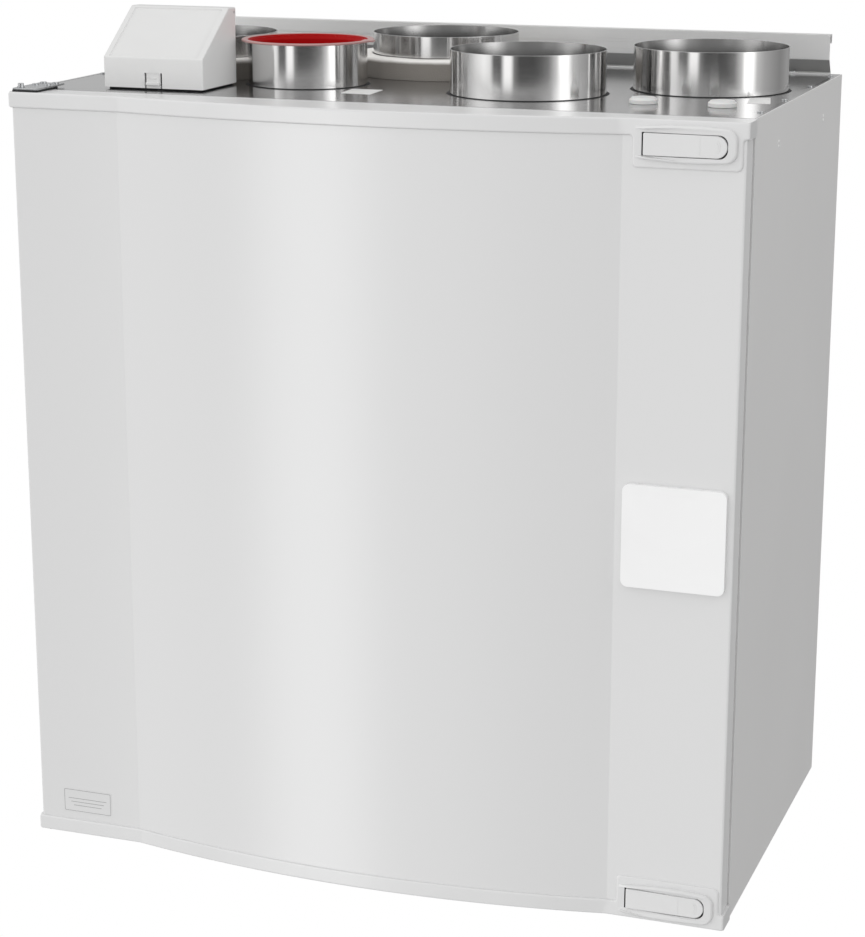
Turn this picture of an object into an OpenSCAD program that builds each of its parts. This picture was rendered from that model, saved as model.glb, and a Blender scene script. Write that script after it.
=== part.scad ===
// Top-connected rotary heat recovery unit, wall hung, with a bow-front hinged door.
// Frame: X to the right, Y to the rear, Z up. Origin at the centre of the cabinet underside.
// Inside the modules Y is measured from the cabinet's front plane; front() moves it to the origin.

/* [Cabinet] */
// Cabinet width over the side panels
cab_w = 765; // [764:1:767]
// Cabinet depth, front plane to rear panel
cab_d = 433; // [432:1:436]
// Cabinet height, underside to top plate
cab_h = 807; // [806:1:808]
// Sheet thickness of the outer panels
sheet = 1.5; // [1.2:0.1:1.5]
// Thickness of the moulded lining on the side walls
lining = 20; // [18:1:22]

/* [Door] */
// Thickness of the flat strips left and right of the bow
door_t = 29; // [28:1:30]
// How far the bowed middle stands out from the flat strips
bow = 27.5; // [20:0.5:30]
// Half width of the bowed middle
bow_half = 262; // [250:1:268]
// Height of the end caps
cap_h = 16; // [14:1:17]
// Amount the end caps stand out past the door skin
cap_over = 2; // [1.5:0.5:2]

/* [Spigots] */
// Outside diameter of the four main duct spigots
duct_d = 159.2; // [159:0.1:159.6]
// Outside diameter of the cooker hood spigot
hood_d = 124.4; // [124:0.1:124.6]
// Height of the spigots above the top plate
spigot_h = 44.6; // [30:0.1:60]

/* [Latches] */
// Height of a latch lever
lever_h = 21; // [19:0.5:21]
// Distance from the door's top edge to the upper latch centre
latch_top = 23.4; // [23:0.1:23.8]
// Distance from the door's bottom edge to the lower latch centre
latch_bottom = 22; // [21.8:0.1:22.6]

/* [Fans and rotor] */
// Radius of the heat wheel over its rim
wheel_r = 176; // [170:1:176]
// Width of the heat wheel
wheel_w = 180; // [160:5:180]
// Radius of the fan wheels
fan_r = 75; // [65:1:80]
// Number of blades on a fan wheel
fan_blades = 11; // [7:1:13]
// Number of pleats in a filter
pleats = 18; // [8:1:22]

/* [Hidden] */

hw = cab_w / 2;
skin_hw = hw - 1.5;
cap_hw = hw + 1.5;
plate_z = cab_h - sheet;
bow_r = (bow_half * bow_half + bow * bow) / (2 * bow);
hinge_x = -(hw - 8.5);
hinge_y = -21;
duct_r = duct_d / 2;
hood_r = hood_d / 2;
// duct centres, Y from the front plane
outdoor_at = [-280, 222];
exhaust_at = [-30, 307];
supply_at = [283, 236];
extract_at = [117, 139];
hood_at = [-127, 147];
// cavity inside the lining
cav_x = hw - sheet - lining;
cav_y0 = 20;
cav_y1 = cab_d - 30;
cav_z0 = 30;
cav_z1 = cab_h - 30;
// front opening
op_x = 335;
op_z0 = 60;
op_z1 = cab_h - 59;
// latch pivot
piv_x = 352;
piv_y = -26;
// heat wheel centre
wheel_y = 210;
wheel_z = 232;
pul_y = 50;
pul_z = 410;
pul_r = 18;
deck_z = 436;
// fan centres, X and Z
xfan = [-248, 610];
sfan = [262, 133];
fan_y0 = 36;
fan_y1 = 122;
white = [0.88, 0.88, 0.87];
steel = [0.72, 0.72, 0.72];
dark = [0.08, 0.08, 0.08];

module front() { translate([0, -cab_d / 2, 0]) children(); }
module box(a, b) { translate(a) cube([b[0] - a[0], b[1] - a[1], b[2] - a[2]]); }
// extrude an X-Z outline along Y from y0 to y1
module along_y(y0, y1) { translate([0, y1, 0]) rotate([90, 0, 0]) linear_extrude(y1 - y0) children(); }
// extrude a Y-Z outline along X from x0 to x1
module along_x(x0, x1) { translate([x0, 0, 0]) rotate([90, 0, 90]) linear_extrude(x1 - x0) children(); }
module rod_x(x0, x1, y, z, r, n = 48) { translate([x0, y, z]) rotate([0, 90, 0]) cylinder(r = r, h = x1 - x0, $fn = n); }
module rod_y(y0, y1, x, z, r, n = 48) { translate([x, y1, z]) rotate([90, 0, 0]) cylinder(r = r, h = y1 - y0, $fn = n); }
module rod_z(z0, z1, x, y, r, n = 48) { translate([x, y, z0]) cylinder(r = r, h = z1 - z0, $fn = n); }
// rectangle with round corners, from corner a to corner b
module rrect(a, b, r) {
  translate([a[0] + r, a[1]]) square([b[0] - a[0] - 2 * r, b[1] - a[1]]);
  translate([a[0], a[1] + r]) square([b[0] - a[0], b[1] - a[1] - 2 * r]);
  for (x = [a[0] + r, b[0] - r], y = [a[1] + r, b[1] - r]) translate([x, y]) circle(r = r, $fn = 40);
}

// ---- cabinet ----

module side_panel() {
  color(white) front() {
    box([hw - sheet, 0, 0], [hw, cab_d, cab_h]);
    box([hw - 9.5, 0, 0], [hw, sheet, cab_h]);
    difference() {
      box([hw - 14.5, 20, plate_z - 1.6], [hw - sheet / 2, 418, plate_z - 0.1]);
      for (y = [52, 163, 292, 405]) rod_z(plate_z - 5, plate_z + 5, hw - 7.5, y, 2);
    }
  }
}
module left_side_panel() { mirror([1, 0, 0]) side_panel(); }
module right_side_panel() { side_panel(); }

module rear_panel() {
  color(steel) front() box([-hw + sheet + 0.1, cab_d - sheet, 0], [hw - sheet - 0.1, cab_d, cab_h]);
}
module bottom_panel() {
  color(steel) front() box([-hw + sheet + 0.1, sheet + 0.1, 0], [hw - sheet - 0.1, cab_d - sheet - 0.1, sheet]);
}
module top_plate() {
  color(steel) front() difference() {
    box([-hw + sheet + 0.1, 3, plate_z], [hw - sheet - 0.1, cab_d - sheet - 0.1, cab_h]);
    for (p = [outdoor_at, exhaust_at, supply_at, extract_at]) rod_z(plate_z - 1, cab_h + 1, p[0], p[1], duct_r + 2.9, 96);
    rod_z(plate_z - 1, cab_h + 1, hood_at[0], hood_at[1], hood_r + 2.9, 96);
    for (x = [-1, 1], y = [52, 163, 292, 405]) rod_z(plate_z - 1, cab_h + 1, x * (hw - 7.5), y, 2);
    for (p = [[250.8, 89.4], [330.2, 86.6]]) rod_z(plate_z - 1, cab_h + 1, p[0], p[1], 10.1);
    rod_z(plate_z - 1, cab_h + 1, -250, 75, 20);
    for (x = [hinge_x + 2, hinge_x + 16], y = [6, 23]) rod_z(plate_z - 1, cab_h + 1, x, y, 2);
  }
}
module insulation_lining() {
  color([0.25, 0.25, 0.26]) front() difference() {
    box([-hw + sheet + 0.1, sheet + 0.1, sheet + 0.1], [hw - sheet - 0.1, cab_d - sheet - 0.1, plate_z - 1.7]);
    box([-cav_x, cav_y0, cav_z0], [cav_x, cav_y1, cav_z1]);
    box([-op_x, -1, op_z0], [op_x, cav_y0 + 1, op_z1]);
    for (p = [outdoor_at, exhaust_at, supply_at, extract_at]) rod_z(cav_z1 - 5, cab_h, p[0], p[1], duct_r - 1.3, 96);
    rod_z(cav_z1 - 5, cab_h, hood_at[0], hood_at[1], hood_r - 1.3, 96);
    rod_z(cav_z1 - 5, cab_h, -250, 75, 20);
  }
}
module front_frame() {
  color(white) front() difference() {
    union() {
      box([-hw + 9.6, 0, 0.1], [hw - 9.6, sheet, cab_h - 0.1]);
      box([-op_x, 0, op_z0], [op_x, 16, op_z1]);
    }
    box([-op_x + sheet, -1, op_z0 + sheet], [op_x - sheet, 20, op_z1 - sheet]);
  }
}

// ---- hinges ----

module hinge_plates() {
  color(steel) front() {
    difference() {
      box([hinge_x - 6, -28, cab_h + 1.8], [hinge_x + 22, 31, cab_h + 3.8]);
      rod_z(cab_h, cab_h + 5, hinge_x, hinge_y, 3.02);
      for (x = [hinge_x + 2, hinge_x + 16], y = [6, 23]) rod_z(cab_h, cab_h + 5, x, y, 2);
    }
    difference() {
      union() {
        rod_z(0, 2, hinge_x, hinge_y, 6.5);
        box([hinge_x + 3, hinge_y, 0], [hinge_x + 20, -0.1, 2]);
        box([hinge_x + 2, -1.3, 0], [hinge_x + 20, -0.1, 34]);
      }
      rod_z(-1, 3, hinge_x, hinge_y, 3.02);
    }
  }
}
module hinge_pins() {
  color(steel) front() {
    rod_z(cab_h - 14, cab_h + 8, hinge_x, hinge_y, 3);
    rod_z(cab_h + 3.9, cab_h + 4.8, hinge_x, hinge_y, 3.9);
    rod_z(0, 14, hinge_x, hinge_y, 3);
  }
}

// ---- wall bracket ----

module wall_bracket() {
  y = cab_d;
  color(steel) front() difference() {
    along_x(-370, 370) {
      translate([y - 12, cab_h]) square([12, 1.5]);
      polygon([[y - 1.9, cab_h + 1], [y, cab_h + 1], [y - 10.5, cab_h + 16.6], [y - 12, cab_h + 16.6]]);
      translate([y - 12, cab_h + 16.2]) square([1.5, 26.8]);
      translate([y - 12, cab_h + 41.5]) square([12, 1.5]);
      translate([y - 1.5, cab_h + 33]) square([1.5, 10]);
    }
    for (x = [-300, 300]) rod_y(y - 20, y - 3, x, cab_h + 25, 4.25);
    for (x = [-330, -110, 110, 330]) rod_z(cab_h - 1, cab_h + 3, x, y - 7.5, 2);
  }
}

module screw_down(x, y, z, head_r, head_h) {
  difference() {
    union() {
      rod_z(z - 3.1, z + 0.5, x, y, 1.95);
      rod_z(z, z + head_h, x, y, head_r);
    }
    rod_z(z + head_h - 0.6, z + 3, x, y, 1.3, 6);
  }
}
module plate_screws() {
  color(steel) front() {
    for (x = [-1, 1], y = [52, 163, 292, 405]) screw_down(x * (hw - 7.5), y, cab_h, 2.8, 1.2);
    for (x = [hinge_x + 2, hinge_x + 16], y = [6, 23]) screw_down(x, y, cab_h + 3.8, 3.3, 1.4);
    // rivets through the foot of the wall bracket
    for (x = [-330, -110, 110, 330]) {
      rod_z(cab_h + 0.1, cab_h + 2, x, cab_d - 7.5, 1.95);
      rod_z(cab_h + 1.5, cab_h + 2.6, x, cab_d - 7.5, 3);
    }
  }
}
module side_rivets() {
  color(white) front() for (s = [0, 1]) mirror([s, 0, 0])
    for (p = [[106.5, cab_h - 38], [106.5, cab_h - 33.6], [333, cab_h - 38], [333, cab_h - 33.6]])
      rod_x(hw, hw + 0.6, p[0], p[1], 1.3, 24);
}
module latch_keepers() {
  color(steel) front() for (z = [cab_h - latch_top, latch_bottom]) {
    box([352, -1.8, z - 9], [372, 0, z + 9]);
    box([368, -12, z - 6], [371, -1.5, z + 6]);
    box([362, -12, z - 6], [371, -9.5, z + 6]);
  }
}

// ---- spigots ----

// zs is where the free part of the spigot begins, above its seal or insulation
module spigot(r, p, zs) {
  color(steel) front() difference() {
    union() {
      rod_z(cav_z1, zs + 0.1, p[0], p[1], r - 1.5, 128);
      rod_z(zs, cab_h + spigot_h, p[0], p[1], r, 128);
      rod_z(plate_z - 1.6, plate_z - 0.1, p[0], p[1], r + 3.9, 128);
    }
    rod_z(cav_z1 - 1, cab_h + spigot_h + 1, p[0], p[1], r - 2.5, 128);
    rod_z(zs + 1, cab_h + spigot_h + 1, p[0], p[1], r - 1, 128);
  }
}
module outdoor_air_spigot() { spigot(duct_r, outdoor_at, cab_h + 22.2); }
module exhaust_air_spigot() { spigot(duct_r, exhaust_at, cab_h + 22.2); }
module supply_air_spigot() { spigot(duct_r, supply_at, cab_h + 0.6); }
module extract_air_spigot() { spigot(duct_r, extract_at, cab_h + 0.6); }
module cooker_hood_spigot() { spigot(hood_r, hood_at, cab_h + 0.6); }
module ring_z(z0, z1, p, r0, r1) {
  difference() {
    rod_z(z0, z1, p[0], p[1], r1, 96);
    rod_z(z0 - 1, z1 + 1, p[0], p[1], r0, 96);
  }
}
module spigot_seals() {
  color(dark) front() {
    for (p = [outdoor_at, exhaust_at, supply_at, extract_at]) ring_z(plate_z, cab_h + 0.3, p, duct_r - 1.45, duct_r + 2.8);
    ring_z(plate_z, cab_h + 0.3, hood_at, hood_r - 1.45, hood_r + 2.8);
  }
}
module spigot_insulation() {
  color([0.72, 0.70, 0.66]) front() for (p = [outdoor_at, exhaust_at]) {
    ring_z(cab_h, cab_h + 22, p, duct_r + 3, 100);
    ring_z(cab_h + 2, cab_h + 22, p, duct_r - 1.3, 90);
  }
}
module blanking_plugs() {
  color([0.93, 0.93, 0.92]) front() for (p = [[250.8, 89.4], [330.2, 86.6]]) {
    rod_z(cab_h - 3, cab_h + 1, p[0], p[1], 10);
    rod_z(cab_h, cab_h + 4.2, p[0], p[1], 14, 64);
    translate([p[0], p[1], cab_h + 4.2]) cylinder(r1 = 14, r2 = 11.5, h = 2.2, $fn = 64);
  }
}
module cooker_hood_plug() {
  z = cab_h + spigot_h;
  color([0.75, 0.08, 0.07]) front() translate([hood_at[0], hood_at[1], z]) {
    difference() {
      union() {
        translate([0, 0, -22]) cylinder(r = hood_r - 1.05, h = 23, $fn = 128);
        translate([0, 0, 0.1]) cylinder(r = 69, h = 2.2, $fn = 128);
        rotate([0, 0, 18]) translate([66, -7, 0.1]) cube([7, 14, 2.2]);
      }
      translate([0, 0, -20]) cylinder(r = hood_r - 3.2, h = 30, $fn = 128);
      translate([0, 0, -1]) cylinder(r1 = hood_r - 3.2, r2 = hood_r + 0.6, h = 3.31, $fn = 128);
    }
  }
}

// ---- terminal box on the top plate ----

tb = [-306, -194.5];
tb_y0 = 31;
tb_y1 = 116;
tb_z = cab_h + 2;
tb_hy = 111.5;
tb_hz = cab_h + 74.5;
module tb_outline(o) {
  polygon([[tb_y0 + o, tb_z - 5 + o], [tb_y0 + o, cab_h + 33 - o * 0.35], [tb_y0 + 67 + o * 0.35, cab_h + 80 - o],
    [tb_y1 - o, cab_h + 79.5 - o], [tb_y1 - o, tb_z - 5 + o]]);
}
module terminal_box_base() {
  color([0.8, 0.8, 0.8]) front() difference() {
    union() {
      box([tb[0] + 3, tb_y0 + 3, cab_h + 1.6], [tb[1] - 3, tb_y1 - 2.5, cab_h + 4.6]);
      box([tb[0] + 4, tb_y1 - 5, cab_h + 1.6], [tb[1] - 4, tb_y1 - 2.5, cab_h + 67]);
      box([tb[0] + 4, tb_y1 - 14, cab_h + 1.6], [tb[0] + 6.5, tb_y1 - 2.5, cab_h + 40]);
      box([tb[1] - 6.5, tb_y1 - 14, cab_h + 1.6], [tb[1] - 4, tb_y1 - 2.5, cab_h + 40]);
      for (s = [tb[0] + 3.5, tb[1] - 8.5]) {
        box([s, tb_hy - 2.2, cab_h + 60], [s + 5, tb_hy, tb_hz]);
        box([s + 1, tb_hy - 2.2, cab_h + 60], [s + 4, tb_y1 - 2.5, cab_h + 66]);
        rod_x(s, s + 5, tb_hy, tb_hz, 2.2);
      }
      rod_x(tb[0] + 0.6, tb[0] + 6, tb_hy, tb_hz, 1.5);
      rod_x(tb[1] - 6, tb[1] - 0.6, tb_hy, tb_hz, 1.5);
    }
    for (x = [-258, -235, -212]) rod_y(tb_y1 - 8, tb_y1, x, cab_h + 50, 8.1);
    rod_z(cab_h, cab_h + 6, -250, 75, 18);
  }
}
module terminal_box_gasket() {
  color(dark) front() difference() {
    box([tb[0] + 4, tb_y0 + 4, cab_h], [tb[1] - 4, tb_y1 - 3.5, cab_h + 1.6]);
    box([tb[0] + 12, tb_y0 + 12, cab_h - 1], [tb[1] - 12, tb_y1 - 12, cab_h + 3]);
  }
}
module terminal_blocks() {
  color([0.55, 0.57, 0.6]) front() {
    box([tb[0] + 14, 90, cab_h + 4.6], [tb[1] - 14, 97, cab_h + 10]);
    for (i = [0:8]) difference() {
      box([tb[0] + 14.6 + i * 9.1, 84, cab_h + 10], [tb[0] + 22.5 + i * 9.1, 103, cab_h + 32]);
      rod_z(cab_h + 24, cab_h + 33, tb[0] + 18.55 + i * 9.1, 89, 2.4, 24);
      rod_y(80, 92, tb[0] + 18.55 + i * 9.1, cab_h + 17, 2.2, 24);
    }
  }
}
module cable_glands() {
  color([0.3, 0.3, 0.32]) front() for (x = [-258, -235, -212]) difference() {
    union() {
      rod_y(tb_y1 - 11, tb_y1 + 10, x, cab_h + 50, 8);
      rod_y(tb_y1 - 9, tb_y1 - 5, x, cab_h + 50, 10.5, 6);
      rod_y(tb_y1 - 2.5, tb_y1 + 2, x, cab_h + 50, 10.5, 6);
      rod_y(tb_y1 + 3, tb_y1 + 15, x, cab_h + 50, 9.2, 32);
    }
    rod_y(tb_y1 - 20, tb_y1 + 20, x, cab_h + 50, 4.5);
  }
}
module terminal_box_cover() {
  color([0.86, 0.86, 0.86]) front() difference() {
    along_x(tb[0], tb[1]) tb_outline(0);
    along_x(tb[0] + 2.2, tb[1] - 2.2) tb_outline(2.2);
    // open underneath and open at the back below the hinge
    box([tb[0] - 1, tb_y0 - 1, cab_h - 10], [tb[1] + 1, tb_y1 + 1, tb_z]);
    box([tb[0] + 2.2, tb_y1 - 3, cab_h - 10], [tb[1] - 2.2, tb_y1 + 1, tb_hz + 0.2]);
    box([tb[0] - 1, tb_y1 - 2.4, cab_h - 10], [tb[1] + 1, tb_y1 + 1, cab_h + 70]);
    // hinge bores
    rod_x(tb[0] - 1, tb[0] + 3, tb_hy, tb_hz, 1.55);
    rod_x(tb[1] - 3, tb[1] + 1, tb_hy, tb_hz, 1.55);
    // slots beside the front clip and the shallow panel edge on the slope
    box([-259.2, tb_y0 - 1, tb_z - 1], [-257.8, tb_y0 + 4, cab_h + 17]);
    box([-242.2, tb_y0 - 1, tb_z - 1], [-240.8, tb_y0 + 4, cab_h + 17]);
  }
  color([0.86, 0.86, 0.86]) front() box([-257.5, tb_y0 - 2.5, tb_z + 3], [-242.5, tb_y0 + 1, tb_z + 5]);
}

// ---- air path parts ----

module mid_shelves() {
  color(steel) front() for (s = [0, 1]) mirror([s, 0, 0]) difference() {
    box([112.2, cav_y0 + 0.5, wheel_z - 1], [cav_x - 0.1, cav_y1 - 0.1, wheel_z + 1]);
    box([198, 141, wheel_z - 2], [cav_x + 1, cav_y1 + 1, wheel_z + 2]);
  }
}
module fan_deck() {
  color(steel) front() difference() {
    box([-cav_x + 0.1, cav_y0 + 0.1, deck_z], [cav_x - 0.1, cav_y1 - 0.1, deck_z + 2]);
    for (s = [-1, 1]) {
      translate([s * 278, 268, deck_z - 1]) cube([2 * (278 - 192), 270, 10], center = true);
      translate([s * 250, 80, deck_z - 1]) cube([160, 80, 10], center = true);
    }
  }
}
module air_shafts() {
  color(steel) front() {
    for (s = [0, 1]) mirror([s, 0, 0]) {
      box([194.5, 138.5, wheel_z + 1.1], [196, cav_y1 - 0.1, cav_z1 - 0.1]);
      box([194.5, 137, wheel_z + 1.1], [cav_x - 0.1, 138.5, cav_z1 - 0.1]);
    }
    difference() {
      box([-113.5, 223.5, deck_z + 2.1], [53.5, cav_y1 - 0.1, cav_z1 - 0.1]);
      box([-112, 225, deck_z + 1], [52, cav_y1 + 1, cav_z1 + 1]);
      box([-120, 250, 560], [-100, 380, 700]);
    }
  }
}

// ---- heat wheel ----

module wheel_slice(x0, x1, r0, r1) {
  difference() {
    rod_x(x0, x1, wheel_y, wheel_z, r1, 180);
    rod_x(x0 - 1, x1 + 1, wheel_y, wheel_z, r0, 180);
  }
}
module rotor_cassette() {
  z0 = cav_z0 + 2;
  z1 = deck_z - 2;
  y0 = 22;
  y1 = cav_y1 - 1;
  color([0.66, 0.68, 0.69]) front() {
    for (s = [0, 1]) mirror([s, 0, 0]) difference() {
      union() {
        difference() {
          box([108, y0, z0], [110, y1, z1]);
          rod_x(107, 111, wheel_y, wheel_z, 168, 180);
        }
        box([108, wheel_y - 170, wheel_z - 14], [110, wheel_y + 170, wheel_z + 14]);
        rod_x(98, 110, wheel_y, wheel_z, 18);
      }
      rod_x(90, 111, wheel_y, wheel_z, 8.03);
    }
    box([-108.5, y0, z0], [108.5, y1, z0 + 2]);
    box([-108.5, y0, z1 - 2], [108.5, y1, z1]);
    box([-108.5, y1 - 2, z0], [108.5, y1, z1]);
    difference() {
      box([-108.5, y0, z0], [108.5, y0 + 2, z1]);
      box([-72, y0 - 1, z0 + 26], [72, y0 + 3, z1 - 8]);
    }
  }
}
module rotor_axle() { color(steel) front() rod_x(-112, 112, wheel_y, wheel_z, 8); }
module rotor_brush_seals() {
  color(dark) front() for (s = [0, 1]) mirror([s, 0, 0]) wheel_slice(wheel_w / 2 + 0.4, 107.9, 169, 173.5);
}
module rotor_rim() { color(steel) front() wheel_slice(-wheel_w / 2, wheel_w / 2, wheel_r - 2, wheel_r); }
module rotor_matrix() {
  color([0.75, 0.76, 0.77]) front() {
    for (r = [32 : 8 : wheel_r - 12]) wheel_slice(-wheel_w / 2, wheel_w / 2, r, r + 0.8);
    wheel_slice(-wheel_w / 2, wheel_w / 2, wheel_r - 3.2, wheel_r - 2.05);
    wheel_slice(-wheel_w / 2, wheel_w / 2, 24.05, 25.2);
    translate([0, wheel_y, wheel_z]) difference() {
      for (a = [0 : 45 : 135]) rotate([a, 0, 0]) cube([wheel_w, 2 * (wheel_r - 2.4), 1.2], center = true);
      rod_x(-wheel_w, wheel_w, 0, 0, 24.3, 64);
    }
  }
}
module rotor_hub() { color([0.5, 0.52, 0.54]) front() wheel_slice(-wheel_w / 2 - 6, wheel_w / 2 + 6, 8.06, 24); }

// belt: two arcs joined by two straight runs that touch both circles
bd = sqrt(pow(wheel_y - pul_y, 2) + pow(pul_z - wheel_z, 2));
ba = atan2(pul_z - wheel_z, pul_y - wheel_y);
bphi = acos((wheel_r - pul_r) / bd);
belt_n = 90;
function arc(c, r, a0, a1, n) = [for (i = [0:n]) [c[0] + r * cos(a0 + (a1 - a0) * i / n), c[1] + r * sin(a0 + (a1 - a0) * i / n)]];
module belt_loop(o) {
  polygon(concat(
    arc([wheel_y, wheel_z], wheel_r + o, ba + bphi, ba + 360 - bphi, belt_n),
    arc([pul_y, pul_z], pul_r + o, ba - bphi, ba + bphi, 20)));
}
module rotor_belt() {
  color(dark) front() along_x(-6, 6) difference() {
    belt_loop(2.4);
    belt_loop(0.5);
  }
}
module rotor_motor() {
  color([0.2, 0.2, 0.22]) front() difference() {
    union() {
      rod_x(11, 70, pul_y, pul_z, 19.5);
      rod_x(70, 104, pul_y, pul_z, 16);
      box([104, 30, 394], [107.9, 72, 430]);
      box([98, 42, 420], [107.9, 58, 431.9]);
    }
    rod_x(10, 30, pul_y, pul_z, 4.05);
  }
}
module motor_pulley() {
  color(steel) front() {
    rod_x(-8, 8, pul_y, pul_z, pul_r);
    rod_x(7, 28, pul_y, pul_z, 4);
  }
}

// ---- filters ----

// pleated panel across X, standing between y0..y1 and z0..z1
module filter(x0, x1, z0, z1) {
  y0 = 24;
  y1 = cav_y1 - 2;
  n = pleats;
  p = (y1 - y0 - 4) / n;
  color([0.9, 0.91, 0.9]) front() {
    difference() {
      box([x0, y0, z0], [x1, y1, z1]);
      box([x0 - 1, y0 + 3, z0 + 3], [x1 + 1, y1 - 3, z1 - 3]);
    }
    translate([0, 0, z0 + 2]) linear_extrude(z1 - z0 - 4) polygon(concat(
      [for (i = [0 : 2 * n]) [i % 2 == 0 ? x0 + 2 : x1 - 7, y0 + 2 + p * i / 2]],
      [for (i = [2 * n : -1 : 0]) [i % 2 == 0 ? x0 + 7 : x1 - 2, y0 + 2 + p * i / 2]]));
    box([x0 + 12, y0 - 3.4, (z0 + z1) / 2 - 22], [x1 - 12, y0 + 0.5, (z0 + z1) / 2 + 22]);
  }
}
module supply_filter() { filter(-166, -118, cav_z0 + 3, wheel_z - 4); }
module extract_filter() { filter(118, 166, wheel_z + 4, deck_z - 3); }

// ---- fans: axis along Y, volute outline in X-Z ----

module volute(c, r, dir, l) {
  translate(c) {
    circle(r = r, $fn = 120);
    if (dir > 0) translate([0, r - 64]) square([l, 64]);
    else translate([-r, 0]) square([64, l]);
  }
}
module fan_scroll(c, dir, l) {
  color([0.35, 0.36, 0.38]) front() {
    difference() {
      along_y(fan_y0, fan_y1) volute(c, fan_r + 20, dir, l);
      along_y(fan_y0 + 2.5, fan_y1 - 2.5) translate(c) {
        circle(r = fan_r + 17.5, $fn = 120);
        if (dir > 0) translate([0, fan_r - 41.5]) square([l + 1, 59]);
        else translate([-fan_r - 17.5, 0]) square([59, l + 1]);
      }
      rod_y(fan_y0 - 1, fan_y0 + 3, c[0], c[1], 52, 90);
      rod_y(fan_y1 - 3, fan_y1 + 1, c[0], c[1], 30, 60);
    }
    difference() {
      rod_y(fan_y0 - 7, fan_y0 + 9, c[0], c[1], 54, 90);
      rod_y(fan_y0 - 8, fan_y0 + 10, c[0], c[1], 52, 90);
    }
  }
}
module fan_wheel(c) {
  y0 = fan_y0 + 14;
  y1 = fan_y1 - 10;
  color([0.16, 0.17, 0.19]) front() {
    difference() {
      union() {
        rod_y(y1 - 2.5, y1, c[0], c[1], fan_r, 90);
        rod_y(y0 + 14, y1, c[0], c[1], 32, 60);
      }
      rod_y(y0 + 20, y1 + 1, c[0], c[1], 28.5, 60);
      rod_y(y0, y1, c[0], c[1], 5.06);
    }
    difference() {
      rod_y(y0, y0 + 2.5, c[0], c[1], fan_r, 90);
      rod_y(y0 - 1, y0 + 3, c[0], c[1], 57, 90);
    }
    translate([c[0], 0, c[1]]) for (i = [0 : fan_blades - 1]) rotate([0, i * 360 / fan_blades, 0])
      translate([44, y0 + 0.8, 0]) rotate([0, 32, 0]) cube([33, y1 - y0 - 1.6, 1.6]);
  }
}
module fan_motor(c) {
  y0 = fan_y0 + 14;
  y1 = fan_y1 - 10;
  color([0.12, 0.12, 0.13]) front() {
    rod_y(y0 + 24, fan_y1 - 1, c[0], c[1], 27, 60);
    rod_y(y0 + 8, y0 + 25, c[0], c[1], 5);
    rod_y(fan_y1 - 2.5, fan_y1, c[0], c[1], 29.9, 60);
    rod_y(fan_y1 + 0.1, fan_y1 + 5, c[0], c[1], 38, 60);
    rod_y(fan_y1 - 1, fan_y1 + 1, c[0], c[1], 20, 60);
  }
}
module supply_fan_scroll() { fan_scroll(sfan, -1, 92); }
module supply_fan_motor() { fan_motor(sfan); }
module supply_fan_wheel() { fan_wheel(sfan); }
module extract_fan_scroll() { fan_scroll(xfan, 1, 128); }
module extract_fan_motor() { fan_motor(xfan); }
module extract_fan_wheel() { fan_wheel(xfan); }

// ---- heater, electronics and cables ----

module after_heater() {
  color([0.7, 0.7, 0.71]) front() {
    difference() {
      box([197, 142, 300], [cav_x - 1, cav_y1 - 2, 344]);
      box([199, 144, 299], [cav_x - 3, cav_y1 - 4, 345]);
    }
    for (y = [170 : 30 : 380]) rod_x(198.5, cav_x - 2, y, 322, 4, 32);
  }
}
module control_box() {
  color([0.78, 0.79, 0.8]) front() {
    difference() {
      box([-98, 26, 520], [98, 74, 745]);
      box([-96.5, 27.5, 521.5], [96.5, 75, 743.5]);
    }
    box([-98, 74.1, 520], [98, 75.6, 745]);
    box([-80, 66, 540], [80, 67.6, 725]);
    for (x = [-70, 70], z = [550, 715]) rod_y(67.5, 74.2, x, z, 4);
    for (x = [-91, 91], z = [527, 738]) rod_y(24.6, 26.1, x, z, 4);
    for (i = [0:3]) box([-60 + i * 32, 54, 560], [-38 + i * 32, 66.2, 590]);
  }
}
module cable(pts, r) {
  for (i = [0 : len(pts) - 2]) {
    v = pts[i + 1] - pts[i];
    l = norm(v);
    translate(pts[i]) rotate([0, acos(v[2] / l), atan2(v[1], v[0])]) cylinder(r = r, h = l, $fn = 24);
  }
  for (i = [0 : len(pts) - 1]) translate(pts[i]) sphere(r = r + 0.3, $fn = 24);
}
module wiring_harness() {
  color([0.1, 0.1, 0.1]) front() {
    cable([[-103, 50, 640], [-112, 50, 640], [-112, 50, 520], [-112, 132, 520], [-200, 132, 520], [-248, 132, 560]], 2.6);
    cable([[103, 60, 545], [116, 60, 545], [116, 30, 470], [180, 30, 470], [180, 30, 445]], 2.6);
    cable([[103, 60, 700], [140, 60, 700], [140, 60, 765]], 3);
  }
}

// ---- door ----

// plan of the door: o is the outward offset, w its half width, yb its rear plane
module door_plan(o, w, yb) {
  translate([-w, -door_t - o]) square([2 * w, door_t + o + yb]);
  intersection() {
    translate([0, bow_r - door_t - bow]) circle(r = bow_r + o, $fn = 720);
    translate([-bow_half, -door_t - bow - 10]) square([2 * bow_half, bow + 20]);
  }
}
module latch_room(z, g) {
  box([279.4 - g, -40, z - 15.6 - g], [377, -24, z + 15.6 + g]);
  box([324.3 - g, -40, z - 15.6 - g], [377, 10, z + 15.6 + g]);
}
module latch_rooms(g) {
  latch_room(cab_h - latch_top, g);
  latch_room(latch_bottom, g);
}
module door_skin() {
  color(white) front() difference() {
    translate([0, 0, cap_h + 0.3]) linear_extrude(cab_h - 2 * cap_h - 0.4) difference() {
      door_plan(0, skin_hw, -3);
      door_plan(-1.2, skin_hw - 1.2, 5);
    }
    latch_rooms(0.1);
  }
}
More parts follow.
